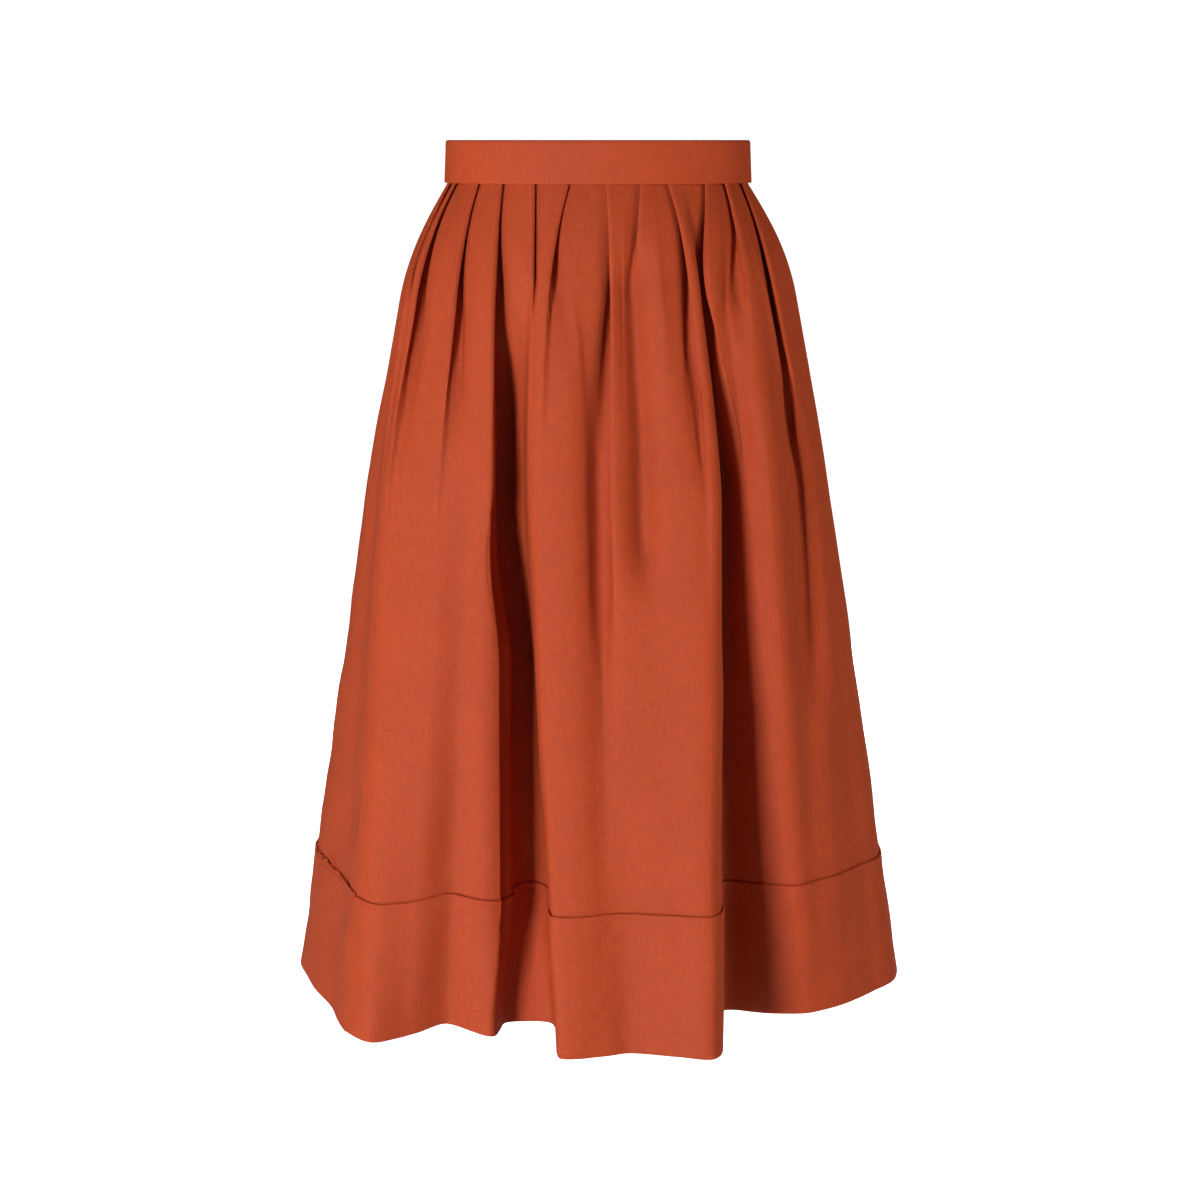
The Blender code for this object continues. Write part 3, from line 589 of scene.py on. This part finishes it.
def row_drops(start, end, settings):
    """Drops of the rows of faces: close where the pleats open, wider below."""
    drops, drop = [], start
    while drop < end - 0.4 * settings.row_spacing:
        drops.append(drop)
        widening = ROW_WIDENING * smooth_step((drop - ROW_WIDENING_START) / ROW_WIDENING_HEIGHT)
        drop += settings.row_spacing * (1 + widening)
    return drops + [end]


# ---------------- finishes
class Wiring:
    """Short ways to add and join nodes of one tree."""

    def __init__(self, tree):
        self.tree = tree

    def add(self, kind, inputs=(), **facts):
        node = self.tree.nodes.new(kind)
        for name, value in facts.items():
            setattr(node, name, value)
        for name, value in dict(inputs).items():
            self.give(node.inputs[name], value)
        return node

    def give(self, socket, value):
        if isinstance(value, bpy.types.NodeSocket):
            self.tree.links.new(value, socket)
        else:
            socket.default_value = value

    def sum(self, operation, first, second=0.5, third=0.5):
        node = self.tree.nodes.new("ShaderNodeMath")
        node.operation = operation
        for socket, value in zip(node.inputs, (first, second, third)):
            self.give(socket, value)
        return node.outputs[0]


def new_group(name, kind, inputs, outputs):
    """Node group with its sockets, (type, name, default): its wiring, its input and its output node."""
    group = bpy.data.node_groups.new(name, kind)
    for socket_type, label, default in inputs:
        socket = group.interface.new_socket(name=label, in_out="INPUT", socket_type=socket_type)
        if default is not None:
            socket.default_value = default
    for socket_type, label in outputs:
        group.interface.new_socket(name=label, in_out="OUTPUT", socket_type=socket_type)
    w = Wiring(group)
    return w, w.add("NodeGroupInput"), w.add("NodeGroupOutput")


def new_material(name):
    """Empty material, its wiring and its shader."""
    made = bpy.data.materials.new(name)
    made.use_nodes = True
    return made, Wiring(made.node_tree), made.node_tree.nodes["Principled BSDF"]


def set_sockets(shader, values):
    """Sets constants on a shader's own sockets."""
    for name, value in values.items():
        shader.inputs[name].default_value = value


# How much the slubs, the crossings of the threads and slow clouds shade the cloth, how much slubs roughen
# it, and how slubs and crossings raise it.
SLUB_SHADE, CROSSING_SHADE, CLOUD_SHADE = 0.34, 0.035, 0.10
SLUB_ROUGHNESS, CLOTH_ROUGHNESS = 0.12, 0.72
SLUB_HEIGHT, CROSSING_HEIGHT = 0.7, 0.35
# Spots for each metre: slubs across a thread, along an upright and along a level one, and clouds.
SLUBS_ACROSS, SLUBS_UPRIGHT, SLUBS_LEVEL, CLOUDS = 850.0, 60.0, 80.0, 14.0
WEAVE_RELIEF = {"Strength": 0.55, "Distance": 0.25 * MM}
CLOTH_GLOSS = {"Specular IOR Level": 0.22, "Sheen Weight": 0.01, "Sheen Roughness": 0.45,
               "Sheen Tint": (1.0, 0.78, 0.66, 1)}


def weave_group():
    """Plain weave on a cloth's own UVs: colour, roughness and height."""
    w, given, result = new_group(
        "plain_weave", "ShaderNodeTree",
        [("NodeSocketVector", "Place", None), ("NodeSocketColor", "Colour", (0.5, 0.06, 0.016, 1)),
         ("NodeSocketFloat", "Thread Pitch", 0.75 * MM), ("NodeSocketFloat", "Slub", 1.0)],
        [("NodeSocketColor", "Colour"), ("NodeSocketFloat", "Roughness"), ("NodeSocketFloat", "Height")])
    place = w.add("ShaderNodeSeparateXYZ", {0: given.outputs["Place"]})
    along, down = place.outputs[0], place.outputs[1]

    def threads(across):
        angle = w.sum("DIVIDE", w.sum("MULTIPLY", across, math.pi), given.outputs["Thread Pitch"])
        return w.sum("SINE", angle)

    def spots(vector, scale, detail):
        return w.add("ShaderNodeTexNoise", {"Vector": vector, "Scale": scale, "Detail": detail},
                     noise_dimensions="2D").outputs[0]

    def slub(across, lengthwise, first, second):
        spot = w.add("ShaderNodeCombineXYZ", {0: w.sum("MULTIPLY", first, across),
                                              1: w.sum("MULTIPLY", second, lengthwise)})
        return spots(spot.outputs[0], 1.0, 2.0)

    weave = w.sum("MULTIPLY", threads(along), threads(down))
    upright = slub(SLUBS_ACROSS, SLUBS_UPRIGHT, along, down)
    level = slub(SLUBS_ACROSS, SLUBS_LEVEL, down, along)
    cloudy = spots(given.outputs["Place"], CLOUDS, 3.0)
    slubs = w.sum("MULTIPLY", w.sum("SUBTRACT", w.sum("ADD", upright, level), 1.0), given.outputs["Slub"])
    shade = w.sum("MULTIPLY_ADD", slubs, SLUB_SHADE, w.sum("MULTIPLY_ADD", weave, CROSSING_SHADE, 1.0))
    shade = w.sum("MULTIPLY", shade, w.sum("MULTIPLY_ADD", cloudy, CLOUD_SHADE, 1 - CLOUD_SHADE / 2))
    grey = w.add("ShaderNodeCombineColor", {0: shade, 1: shade, 2: shade})
    tinted = w.add("ShaderNodeMix", {0: 1.0, 6: given.outputs["Colour"], 7: grey.outputs[0]},
                   data_type="RGBA", blend_type="MULTIPLY")
    raised = w.sum("MULTIPLY_ADD", slubs, SLUB_HEIGHT, w.sum("MULTIPLY", weave, CROSSING_HEIGHT))
    w.give(result.inputs["Colour"], tinted.outputs[2])
    w.give(result.inputs["Roughness"], w.sum("MULTIPLY_ADD", slubs, SLUB_ROUGHNESS, CLOTH_ROUGHNESS))
    w.give(result.inputs["Height"], raised)
    return w.tree


def cloth_material(name, colour, settings, slub=1.0):
    """Woven cloth with a faint pale sheen."""
    made, w, shader = new_material(name)
    place = w.add("ShaderNodeUVMap", uv_map="cloth")
    weave = w.add("ShaderNodeGroup", node_tree=bpy.data.node_groups.get("plain_weave") or weave_group())
    w.give(weave.inputs["Place"], place.outputs[0])
    set_sockets(weave, {"Colour": (*colour, 1), "Thread Pitch": settings.thread_pitch, "Slub": slub})
    bump = w.add("ShaderNodeBump", {**WEAVE_RELIEF, "Height": weave.outputs["Height"]})
    w.give(shader.inputs["Base Color"], weave.outputs["Colour"])
    w.give(shader.inputs["Roughness"], weave.outputs["Roughness"])
    w.give(shader.inputs["Normal"], bump.outputs[0])
    set_sockets(shader, CLOTH_GLOSS)
    return made


def plain_material(name, colour, roughness, metallic=0.0, coat=0.0):
    """Even finish with a little unevenness of gloss."""
    made, w, shader = new_material(name)
    place = w.add("ShaderNodeTexCoord")
    noise = w.add("ShaderNodeTexNoise", {"Vector": place.outputs["Object"], "Scale": 900.0, "Detail": 2.0})
    w.give(shader.inputs["Roughness"], w.sum("MULTIPLY_ADD", noise.outputs[0], 0.2, roughness - 0.1))
    set_sockets(shader, {"Base Color": (*colour, 1), "Metallic": metallic, "Coat Weight": coat})
    return made


# ---------------- operators
# Rows of faces beside the hem band's seam, in millimetres below it.
SEAM_ROWS = (-4.4, -3.2, -2.3, -1.5, -0.9, -0.3, 0.4, 1.2, 2.4, 5.0)
SEAM_ROWS_START = -6 * MM


class SKIRT_OT_panels(bpy.types.Operator):
    """Front panel and two back panels with their knife pleats"""
    bl_idname = "skirt.make_panels"
    bl_label = "Skirt panels"

    def execute(self, context):
        settings = context.scene.skirt_cloth
        finish = cloth_material("rust_plain_weave", settings.colour, settings)
        seam = SKIRT_LENGTH - HEM_BAND_HEIGHT
        drops = row_drops(0.0, seam + SEAM_ROWS_START, settings)
        drops += [seam + place * MM for place in SEAM_ROWS] + [seam + HEM_BAND_LAP]
        tuck = [-SEAM_TUCK_DEPTH * math.exp(-((drop - seam) / SEAM_TUCK_HEIGHT) ** 2) for drop in drops]
        for cut in PANELS:
            grid, normals, places = cloth_grid(cut.first, cut.last, drops, settings)
            grid = grid + normals * np.array(tuck)[:, None, None]
            half = normals * CLOTH_WALL / 2
            mesh = wall_mesh(cut.name, grid + half, grid - half, places)
            panel = add_piece(cut.name, mesh, finish, "cloth", "skirt", cut.node)
        return {"FINISHED"}


# Height of the hem band's outer face over the cloth's middle line, down from its upper edge (millimetres).
BAND_EDGE = [(0.0, 1.0), (0.15, 1.7), (0.5, 2.1), (1.2, 2.35), (2.7, 2.4), (3.7, 2.3), (4.5, 2.05),
             (5.1, 1.85), (5.7, 1.95), (6.6, 2.12), (8.0, 2.05), (11.0, 1.85), (16.0, 1.8)]
BAND_PLACES, BAND_HEIGHTS = np.array(BAND_EDGE).T * MM
BAND_TOP = SKIRT_LENGTH - HEM_BAND_HEIGHT
BAND_ROWS = 14


class SKIRT_OT_hem_band(bpy.types.Operator):
    """Deep shaped band that is sewn over the panels' lower edge"""
    bl_idname = "skirt.make_hem_band"
    bl_label = "Hem band"

    def execute(self, context):
        settings = context.scene.skirt_cloth
        finish = cloth_material("rust_hem_weave", settings.colour, settings)
        drops = list(BAND_TOP + BAND_PLACES)
        drops += list(np.linspace(drops[-1], SKIRT_LENGTH, BAND_ROWS)[1:])
        heights = np.interp(np.array(drops) - BAND_TOP, BAND_PLACES, BAND_HEIGHTS)
        inner = CLOTH_WALL / 2 + SEAM_GAP
        for cut in HEM_BANDS:
            grid, normals, places = cloth_grid(cut.first, cut.last, drops, settings)
            outer = grid + normals * heights[:, None, None]
            mesh = wall_mesh(cut.name, outer, grid + normals * inner, places)
            band = add_piece(cut.name, mesh, finish, "cloth", "skirt", cut.node)
        return {"FINISHED"}


def waist_point(angle, distance, height):
    """A point of the waistband at an angle from the front centre and a distance out from the pleats."""
    lean = -WAISTBAND_TAPER * (height - WAIST_SEAM_Z) / WAISTBAND_HEIGHT
    across = WAIST_HALF_WIDTH + distance + lean
    deep = WAIST_HALF_DEPTH + distance + lean
    return (across * math.sin(angle), -deep * math.cos(angle), height)


def waistband_profile():
    """Section of the band, (distance out, height), from the top of its outer face down and round."""
    low, high, corner = WAIST_SEAM_Z, -WAIST_SEAM_Z, WAISTBAND_CORNER
    rim = WAISTBAND_OUT + WAISTBAND_IN - corner
    profile = [(WAISTBAND_OUT, height) for height in np.linspace(high - WAISTBAND_ROUND, low + corner, 12)]
    profile += [(WAISTBAND_OUT - 0.35 * corner, low + 0.2 * corner), (WAISTBAND_OUT - corner, low),
                (-WAISTBAND_IN + corner, low), (-WAISTBAND_IN, low + corner)]
    profile += [(-WAISTBAND_IN, height) for height in np.linspace(low + corner, high - corner, 10)[1:]]
    profile += [(-WAISTBAND_IN + 0.35 * corner, high - 0.25 * corner)]
    profile += [(WAISTBAND_OUT - rim * (1 - math.sin(turn)), high - WAISTBAND_ROUND * (1 - math.cos(turn)))
                for turn in np.radians((5, 22, 38, 52, 65, 78))]
    return profile


class SKIRT_OT_waistband(bpy.types.Operator):
    """Flat waistband, folded at its upper edge, open at the centre back"""
    bl_idname = "skirt.make_waistband"
    bl_label = "Waistband"

    def execute(self, context):
        settings = context.scene.skirt_cloth
        finish = cloth_material("rust_band_weave", settings.colour, settings, 0.8)
        profile = waistband_profile()
        count = len(profile)
        half_opening = math.asin(ZIP_OPENING / 2 / WAIST_HALF_WIDTH)
        angles = np.linspace(-math.pi + half_opening, math.pi - half_opening, WAISTBAND_SECTIONS)
        sides = [math.dist(start, end) for start, end in zip(profile, profile[1:] + profile[:1])]
        down = np.concatenate([[0], np.cumsum(sides)])
        points, faces, places, corners = [], [], [], []
        along = 0.0
        for number, angle in enumerate(angles):
            if number:
                along += math.dist(waist_point(angle, 0, 0), waist_point(angles[number - 1], 0, 0))
            from_zip = (math.pi - abs(angle)) * WAIST_HALF_WIDTH
            filled = smooth_step((from_zip - ZIP_CLEAR) / ZIP_CLEAR_FADE)
            for distance, height in profile:
                if distance < 0:
                    filling = smooth_step(1 - (height - WAIST_SEAM_Z) / WAISTBAND_FULL_HEIGHT)
                    distance -= WAISTBAND_FULL * filled * filling
                points.append(waist_point(angle, distance, height))
            places.append(along)
        for number in range(len(angles) - 1):
            for index in range(count):
                after = (index + 1) % count
                faces.append((number * count + index, number * count + after,
                              (number + 1) * count + after, (number + 1) * count + index))
                corners += [(places[number], -down[index]), (places[number], -down[index + 1]),
                            (places[number + 1], -down[index + 1]), (places[number + 1], -down[index])]
        for loop in (range(count - 1, -1, -1), range((len(angles) - 1) * count, len(angles) * count)):
            faces.append(tuple(loop))
            corners += [(points[index][1], points[index][2]) for index in loop]
        mesh = bpy.data.meshes.new("waistband_cloth")
        mesh.from_pydata(points, [], faces)
        mesh.uv_layers.new(name="cloth").data.foreach_set("uv", np.array(corners).ravel())
        mesh.shade_smooth()
        mesh.set_sharp_from_angle(angle=SHARP_ANGLE)
        band = add_piece("waistband_cloth", mesh, finish, "cloth", "skirt", "waistband")
        return {"FINISHED"}


def bead_row_tree(name, inputs, pitch, segments, rings, turn=0.0):
    """Start of a tree that sets smooth beads at a pitch along a path of mesh edges: its wiring, its input
    and output nodes, the node of the bead's size and the node that places the beads."""
    geometry = "NodeSocketGeometry"
    w, given, result = new_group(name, "GeometryNodeTree", [(geometry, "Geometry", None)] + inputs,
                                 [(geometry, "Geometry")])
    curve = w.add("GeometryNodeMeshToCurve", {"Mesh": given.outputs["Geometry"]})
    spaced = w.add("GeometryNodeResampleCurve",
                   {"Curve": curve.outputs[0], "Length": given.outputs[pitch]}, mode="LENGTH")
    bead = w.add("GeometryNodeMeshUVSphere", {"Segments": segments, "Rings": rings, "Radius": 0.5})
    size = w.add("ShaderNodeCombineXYZ")
    shaped = w.add("GeometryNodeTransform", {"Geometry": bead.outputs["Mesh"], "Scale": size.outputs[0],
                                             "Rotation": (0.0, turn, 0.0)})
    smooth = w.add("GeometryNodeSetShadeSmooth", {"Geometry": shaped.outputs[0]})
    placed = w.add("GeometryNodeInstanceOnPoints",
                   {"Points": spaced.outputs[0], "Instance": smooth.outputs[0]})
    return w, given, result, size, placed


def finish_row(w, given, result, instances):
    """End of such a tree: real geometry with its material."""
    real = w.add("GeometryNodeRealizeInstances", {"Geometry": instances})
    finished = w.add("GeometryNodeSetMaterial",
                     {"Geometry": real.outputs[0], "Material": given.outputs["Material"]})
    w.give(result.inputs[0], finished.outputs[0])
    return w.tree


def stitch_tree():
    """Stitches along a path, each turned with it and rocked a little by a seeded turn."""
    w, given, result, size, placed = bead_row_tree(
        "stitch_row",
        [("NodeSocketFloat", "Stitch Length", 2.1 * MM), ("NodeSocketFloat", "Stitch Pitch", 2.9 * MM),
         ("NodeSocketFloat", "Thread Thickness", 0.34 * MM), ("NodeSocketFloat", "Turn", 0.06),
         ("NodeSocketInt", "Seed", 7), ("NodeSocketMaterial", "Material", None)], "Stitch Pitch", 6, 5)
    for axis, label in enumerate(("Stitch Length", "Thread Thickness", "Thread Thickness")):
        w.give(size.inputs[axis], given.outputs[label])
    tangent = w.add("GeometryNodeInputTangent")
    turned = w.add("FunctionNodeAlignRotationToVector", {"Vector": tangent.outputs[0]}, axis="X")
    w.give(placed.inputs["Rotation"], turned.outputs[0])
    most, least = given.outputs["Turn"], w.sum("MULTIPLY", given.outputs["Turn"], -1.0)
    swing = w.add("FunctionNodeRandomValue", data_type="FLOAT_VECTOR")
    for number, limit in enumerate((least, most)):
        w.give(swing.inputs[number], w.add("ShaderNodeCombineXYZ", {1: limit, 2: limit}).outputs[0])
    w.give(swing.inputs["Seed"], given.outputs["Seed"])
    angle = w.add("FunctionNodeEulerToRotation", {0: swing.outputs[0]})
    rocked = w.add("GeometryNodeRotateInstances",
                   {"Instances": placed.outputs[0], "Rotation": angle.outputs[0]})
    return finish_row(w, given, result, rocked.outputs[0])


def made_from_path(name, points, tree, values):
    """Runs a Geometry Nodes tree over an open path of points and gives its plain mesh."""
    path = bpy.data.meshes.new(name + "_path")
    path.from_pydata([tuple(point) for point in points], [(n, n + 1) for n in range(len(points) - 1)], [])
    carrier = bpy.data.objects.new(name + "_path", path)
    bpy.context.scene.collection.objects.link(carrier)
    step = carrier.modifiers.new(name, "NODES")
    step.node_group = tree
    for item in tree.interface.items_tree:
        if item.item_type == "SOCKET" and item.in_out == "INPUT" and item.name in values:
            step[item.identifier] = values[item.name]
    evaluated = carrier.evaluated_get(bpy.context.evaluated_depsgraph_get())
    mesh = bpy.data.meshes.new_from_object(evaluated)
    carrier.modifiers.remove(step)
    bpy.data.objects.remove(carrier, do_unlink=True)
    if not mesh.polygons:
        raise RuntimeError(name + " came out empty")
    mesh.name = name
    return mesh


def band_face_path(first, last, below, lift, settings):
    """Points on the hem band's outer face, a distance below its upper edge."""
    height = np.interp(below, BAND_PLACES, BAND_HEIGHTS)
    drop = BAND_TOP + below
    grid, normals, _ = cloth_grid(first, last, [drop - MM, drop, drop + MM], settings)
    return (grid + normals * (height + lift))[1]


STITCH_LIFT = 0.05 * MM          # how far the stitches lie off the band's face
STITCH_FREE = 3                  # points of the band's face without stitches at each side seam


class SKIRT_OT_stitches(bpy.types.Operator):
    """Row of topstitches along the hem band's upper edge"""
    bl_idname = "skirt.make_stitches"
    bl_label = "Topstitches"

    def execute(self, context):
        settings = context.scene.skirt_stitches
        thread = plain_material("rust_thread", settings.colour, 0.7)
        tree = stitch_tree()
        for name, first, last in (("topstitch_front", "side_left", "side_right"),
                                  ("topstitch_back", "side_right", "side_left")):
            points = band_face_path(first, last, settings.below_edge, STITCH_LIFT, context.scene.skirt_cloth)
            mesh = made_from_path(name, points[STITCH_FREE:-STITCH_FREE], tree, {
                "Stitch Length": settings.length, "Stitch Pitch": settings.pitch,
                "Thread Thickness": settings.thickness, "Turn": settings.turn, "Seed": settings.seed,
                "Material": thread})
            add_piece(name, mesh, None, "thread", "skirt")
        return {"FINISHED"}


# ---------------- zip
ZIP_TOP = 4 * MM
ZIP_DROP = 170 * MM
ZIP_WIDTH = 7 * MM
TAPE_COLUMNS = (1, 0.33, -0.33, -1)
TAPE_BACK = 0.1 * MM             # how far the tape lies inside the seam, its thickness, and the coil's place
TAPE_THICKNESS = 0.35 * MM
COIL_BACK = 0.85 * MM
COIL_LEAN = 0.12                 # lean of a turn of the coil, in radians
COIL_FULL = 0.86                 # height of a turn, in parts of the pitch


def coil_tree():
    """Turns of a closed zip coil along a path, each a flat bead that lies across it."""
    w, given, result, size, placed = bead_row_tree(
        "coil_turns",
        [("NodeSocketFloat", "Turn Pitch", 1.25 * MM), ("NodeSocketFloat", "Coil Width", 4.6 * MM),
         ("NodeSocketFloat", "Coil Thickness", 1.1 * MM), ("NodeSocketMaterial", "Material", None)],
        "Turn Pitch", 8, 6, COIL_LEAN)
    height = w.sum("MULTIPLY", given.outputs["Turn Pitch"], COIL_FULL)
    for axis, value in enumerate((given.outputs["Coil Width"], given.outputs["Coil Thickness"], height)):
        w.give(size.inputs[axis], value)
    return finish_row(w, given, result, placed.outputs[0])


class SKIRT_OT_zip(bpy.types.Operator):
    """Coil and tape behind the centre-back seam, and the finish of the slider and its tab"""
    bl_idname = "skirt.make_zip"
    bl_label = "Zip"

    def execute(self, context):
        settings = context.scene.skirt_zip
        cloth = context.scene.skirt_cloth
        coil_finish = plain_material("rust_coil", settings.colour, 0.45)
        tape_finish = cloth_material("rust_zip_tape", settings.colour, cloth, 0.7)
        column = int(np.argmin(abs(CLOTH_ROWS - FOLD_NUMBER["centre_back"]))) * cloth.columns
        clear = WAISTBAND_IN + SEAM_GAP
        heights = [(height, waist_point(math.pi, -clear, height)[1]) for height in (ZIP_TOP, WAIST_SEAM_Z)]
        for drop in np.linspace(0, ZIP_DROP, 25)[1:]:
            heights.append((WAIST_SEAM_Z - drop, fine_ring(drop, cloth)[0][column][1] - clear))
        tape = np.array([[(side * ZIP_WIDTH / 2, y - TAPE_BACK, z) for side in TAPE_COLUMNS]
                         for z, y in heights])
        mesh = wall_mesh("zip_tape", tape, tape - [0, TAPE_THICKNESS, 0], tape[:, :, [0, 2]])
        add_piece("zip_tape", mesh, tape_finish, "zip_coil", "skirt", "zip_coil")
        path = [(0, y - COIL_BACK, z) for z, y in heights]
        turns = made_from_path("zip_coil_turns", path, coil_tree(), {
            "Turn Pitch": settings.turn_pitch, "Coil Width": settings.coil_width,
            "Coil Thickness": settings.coil_thickness, "Material": coil_finish})
        add_piece("zip_coil_turns", turns, None, "zip_coil", "skirt")
        enamel = plain_material("rust_enamel", settings.enamel, 0.34, metallic=0.35, coat=0.3)
        for node in ("zip_slider", "zip_pull"):
            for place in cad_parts[node].material_slots:
                place.material = enamel
        return {"FINISHED"}


# ---------------- stage
PHOTO_SIZE = 1200                # pixels, both ways
HORIZON_ROW = 140                # the picture's row at the camera's height
CAMERA_HEIGHT = 19 * MM          # the waistband's upper edge
WAIST_PIXELS = 2778              # pixels for a metre at a metre's distance, level with the camera
CAMERA_RIGHT = 1.8 * MM          # the camera's place to the right of the skirt's axis
FLOOR_HALF = 400.0               # metres from the middle of the floor to its edge
FLOOR_GLOW = 1.2                 # keeps the floor white to the camera
WHITE = (1, 1, 1)
# Soft lights that face LAMP_TARGET: where each stands, its size, the setting that holds its power and the
# part of that power it takes, its colour, and whether gloss shows it.
Lamp = namedtuple("Lamp", "name place size setting part colour glossy")
LAMPS = [
    Lamp("key", (-1.75, -3.35, -0.4), (0.8, 1.0), "key_power", 1.0, (1.0, 0.985, 0.97), True),
    Lamp("left_side", (-2.4, -0.55, 0.2), (0.9, 1.8), "side_power", 1.0, WHITE, False),
    Lamp("right_side", (2.4, -0.75, 0.2), (0.9, 1.8), "side_power", 2.2, WHITE, False),
    Lamp("back", (0.55, 3.5, -0.1), (1.4, 1.4), "back_power", 1.0, WHITE, False),
]
LAMP_TARGET = Vector((0, 0, -0.4))


class SKIRT_OT_stage(bpy.types.Operator):
    """Pale floor, soft light and the camera"""
    bl_idname = "skirt.make_stage"
    bl_label = "Stage"

    def execute(self, context):
        settings = context.scene.skirt_stage
        scene = context.scene
        scene.view_settings.view_transform = "Standard"
        tilt = math.asin((PHOTO_SIZE / 2 - HORIZON_ROW) / WAIST_PIXELS)
        lens = bpy.data.cameras.new("camera")
        lens.sensor_width = 36.0
        lens.lens = lens.sensor_width * WAIST_PIXELS * math.cos(tilt) / PHOTO_SIZE
        camera = bpy.data.objects.new("camera", lens)
        scene.collection.objects.link(camera)
        camera.location = (CAMERA_RIGHT, -settings.camera_distance, CAMERA_HEIGHT)
        camera.rotation_euler = (math.pi / 2 - tilt, 0, 0)
        scene.camera = camera

        world = bpy.data.worlds.new("even_white")
        scene.world = world
        world.use_nodes = True
        w = Wiring(world.node_tree)
        background = world.node_tree.nodes["Background"]
        seen = w.add("ShaderNodeLightPath")
        strength = w.sum("MULTIPLY_ADD", seen.outputs["Is Camera Ray"], 1.0 - settings.fill_strength,
                         settings.fill_strength)
        background.inputs["Color"].default_value = (*WHITE, 1)
        w.give(background.inputs["Strength"], strength)

        for lamp in LAMPS:
            light = bpy.data.lights.new(lamp.name, "AREA")
            light.shape = "RECTANGLE"
            light.size, light.size_y = lamp.size
            light.energy = lamp.part * getattr(settings, lamp.setting)
            light.color = lamp.colour
            stand = bpy.data.objects.new(lamp.name, light)
            scene.collection.objects.link(stand)
            stand.location = lamp.place
            stand.rotation_euler = (LAMP_TARGET - Vector(lamp.place)).to_track_quat("-Z", "Y").to_euler()
            stand.visible_glossy = lamp.glossy

        mesh = bpy.data.meshes.new("floor")
        corners = [(-1, -1), (1, -1), (1, 1), (-1, 1)]
        mesh.from_pydata([(x * FLOOR_HALF, y * FLOOR_HALF, settings.floor_height) for x, y in corners],
                         [], [(0, 1, 2, 3)])
        floor = bpy.data.objects.new("floor", mesh)
        scene.collection.objects.link(floor)
        pale, w, shader = new_material("pale_floor")
        set_sockets(shader, {"Base Color": (0.60, 0.60, 0.60, 1), "Roughness": 0.9,
                             "Specular IOR Level": 0.1, "Emission Color": (*WHITE, 1)})
        seen = w.add("ShaderNodeLightPath")
        glow = w.sum("MULTIPLY", seen.outputs["Is Camera Ray"], FLOOR_GLOW)
        w.give(shader.inputs["Emission Strength"], glow)
        mesh.materials.append(pale)
        return {"FINISHED"}


class SKIRT_PT_sidebar(bpy.types.Panel):
    """Lists the skirt's sizes and the steps that make it"""
    bl_label = "Pleated midi skirt"
    bl_idname = "SKIRT_PT_sidebar"
    bl_space_type = "VIEW_3D"
    bl_region_type = "UI"
    bl_category = "Skirt"

    def draw(self, context):
        for group in SETTINGS:
            box = self.layout.box()
            settings = getattr(context.scene, group)
            for name in settings.bl_rna.properties.keys():
                if name not in ("rna_type", "name"):
                    box.prop(settings, name)
        for step in STEPS:
            self.layout.operator(step.bl_idname)


SETTINGS = {"skirt_cloth": SkirtClothSettings, "skirt_stitches": SkirtStitchSettings,
            "skirt_zip": SkirtZipSettings, "skirt_stage": SkirtStageSettings}
STEPS = (SKIRT_OT_stage, SKIRT_OT_panels, SKIRT_OT_hem_band, SKIRT_OT_waistband, SKIRT_OT_stitches,
         SKIRT_OT_zip)
CLASSES = tuple(SETTINGS.values()) + STEPS + (SKIRT_PT_sidebar,)


def register():
    for made in CLASSES:
        bpy.utils.register_class(made)
    for name, group in SETTINGS.items():
        setattr(bpy.types.Scene, name, PointerProperty(type=group))


def unregister():
    for name in SETTINGS:
        delattr(bpy.types.Scene, name)
    for made in reversed(CLASSES):
        bpy.utils.unregister_class(made)


def main():
    register()
    bpy.ops.skirt.make_stage()
    bpy.ops.skirt.make_panels()
    bpy.ops.skirt.make_hem_band()
    bpy.ops.skirt.make_waistband()
    bpy.ops.skirt.make_stitches()
    bpy.ops.skirt.make_zip()


if __name__ == "__main__":
    main()
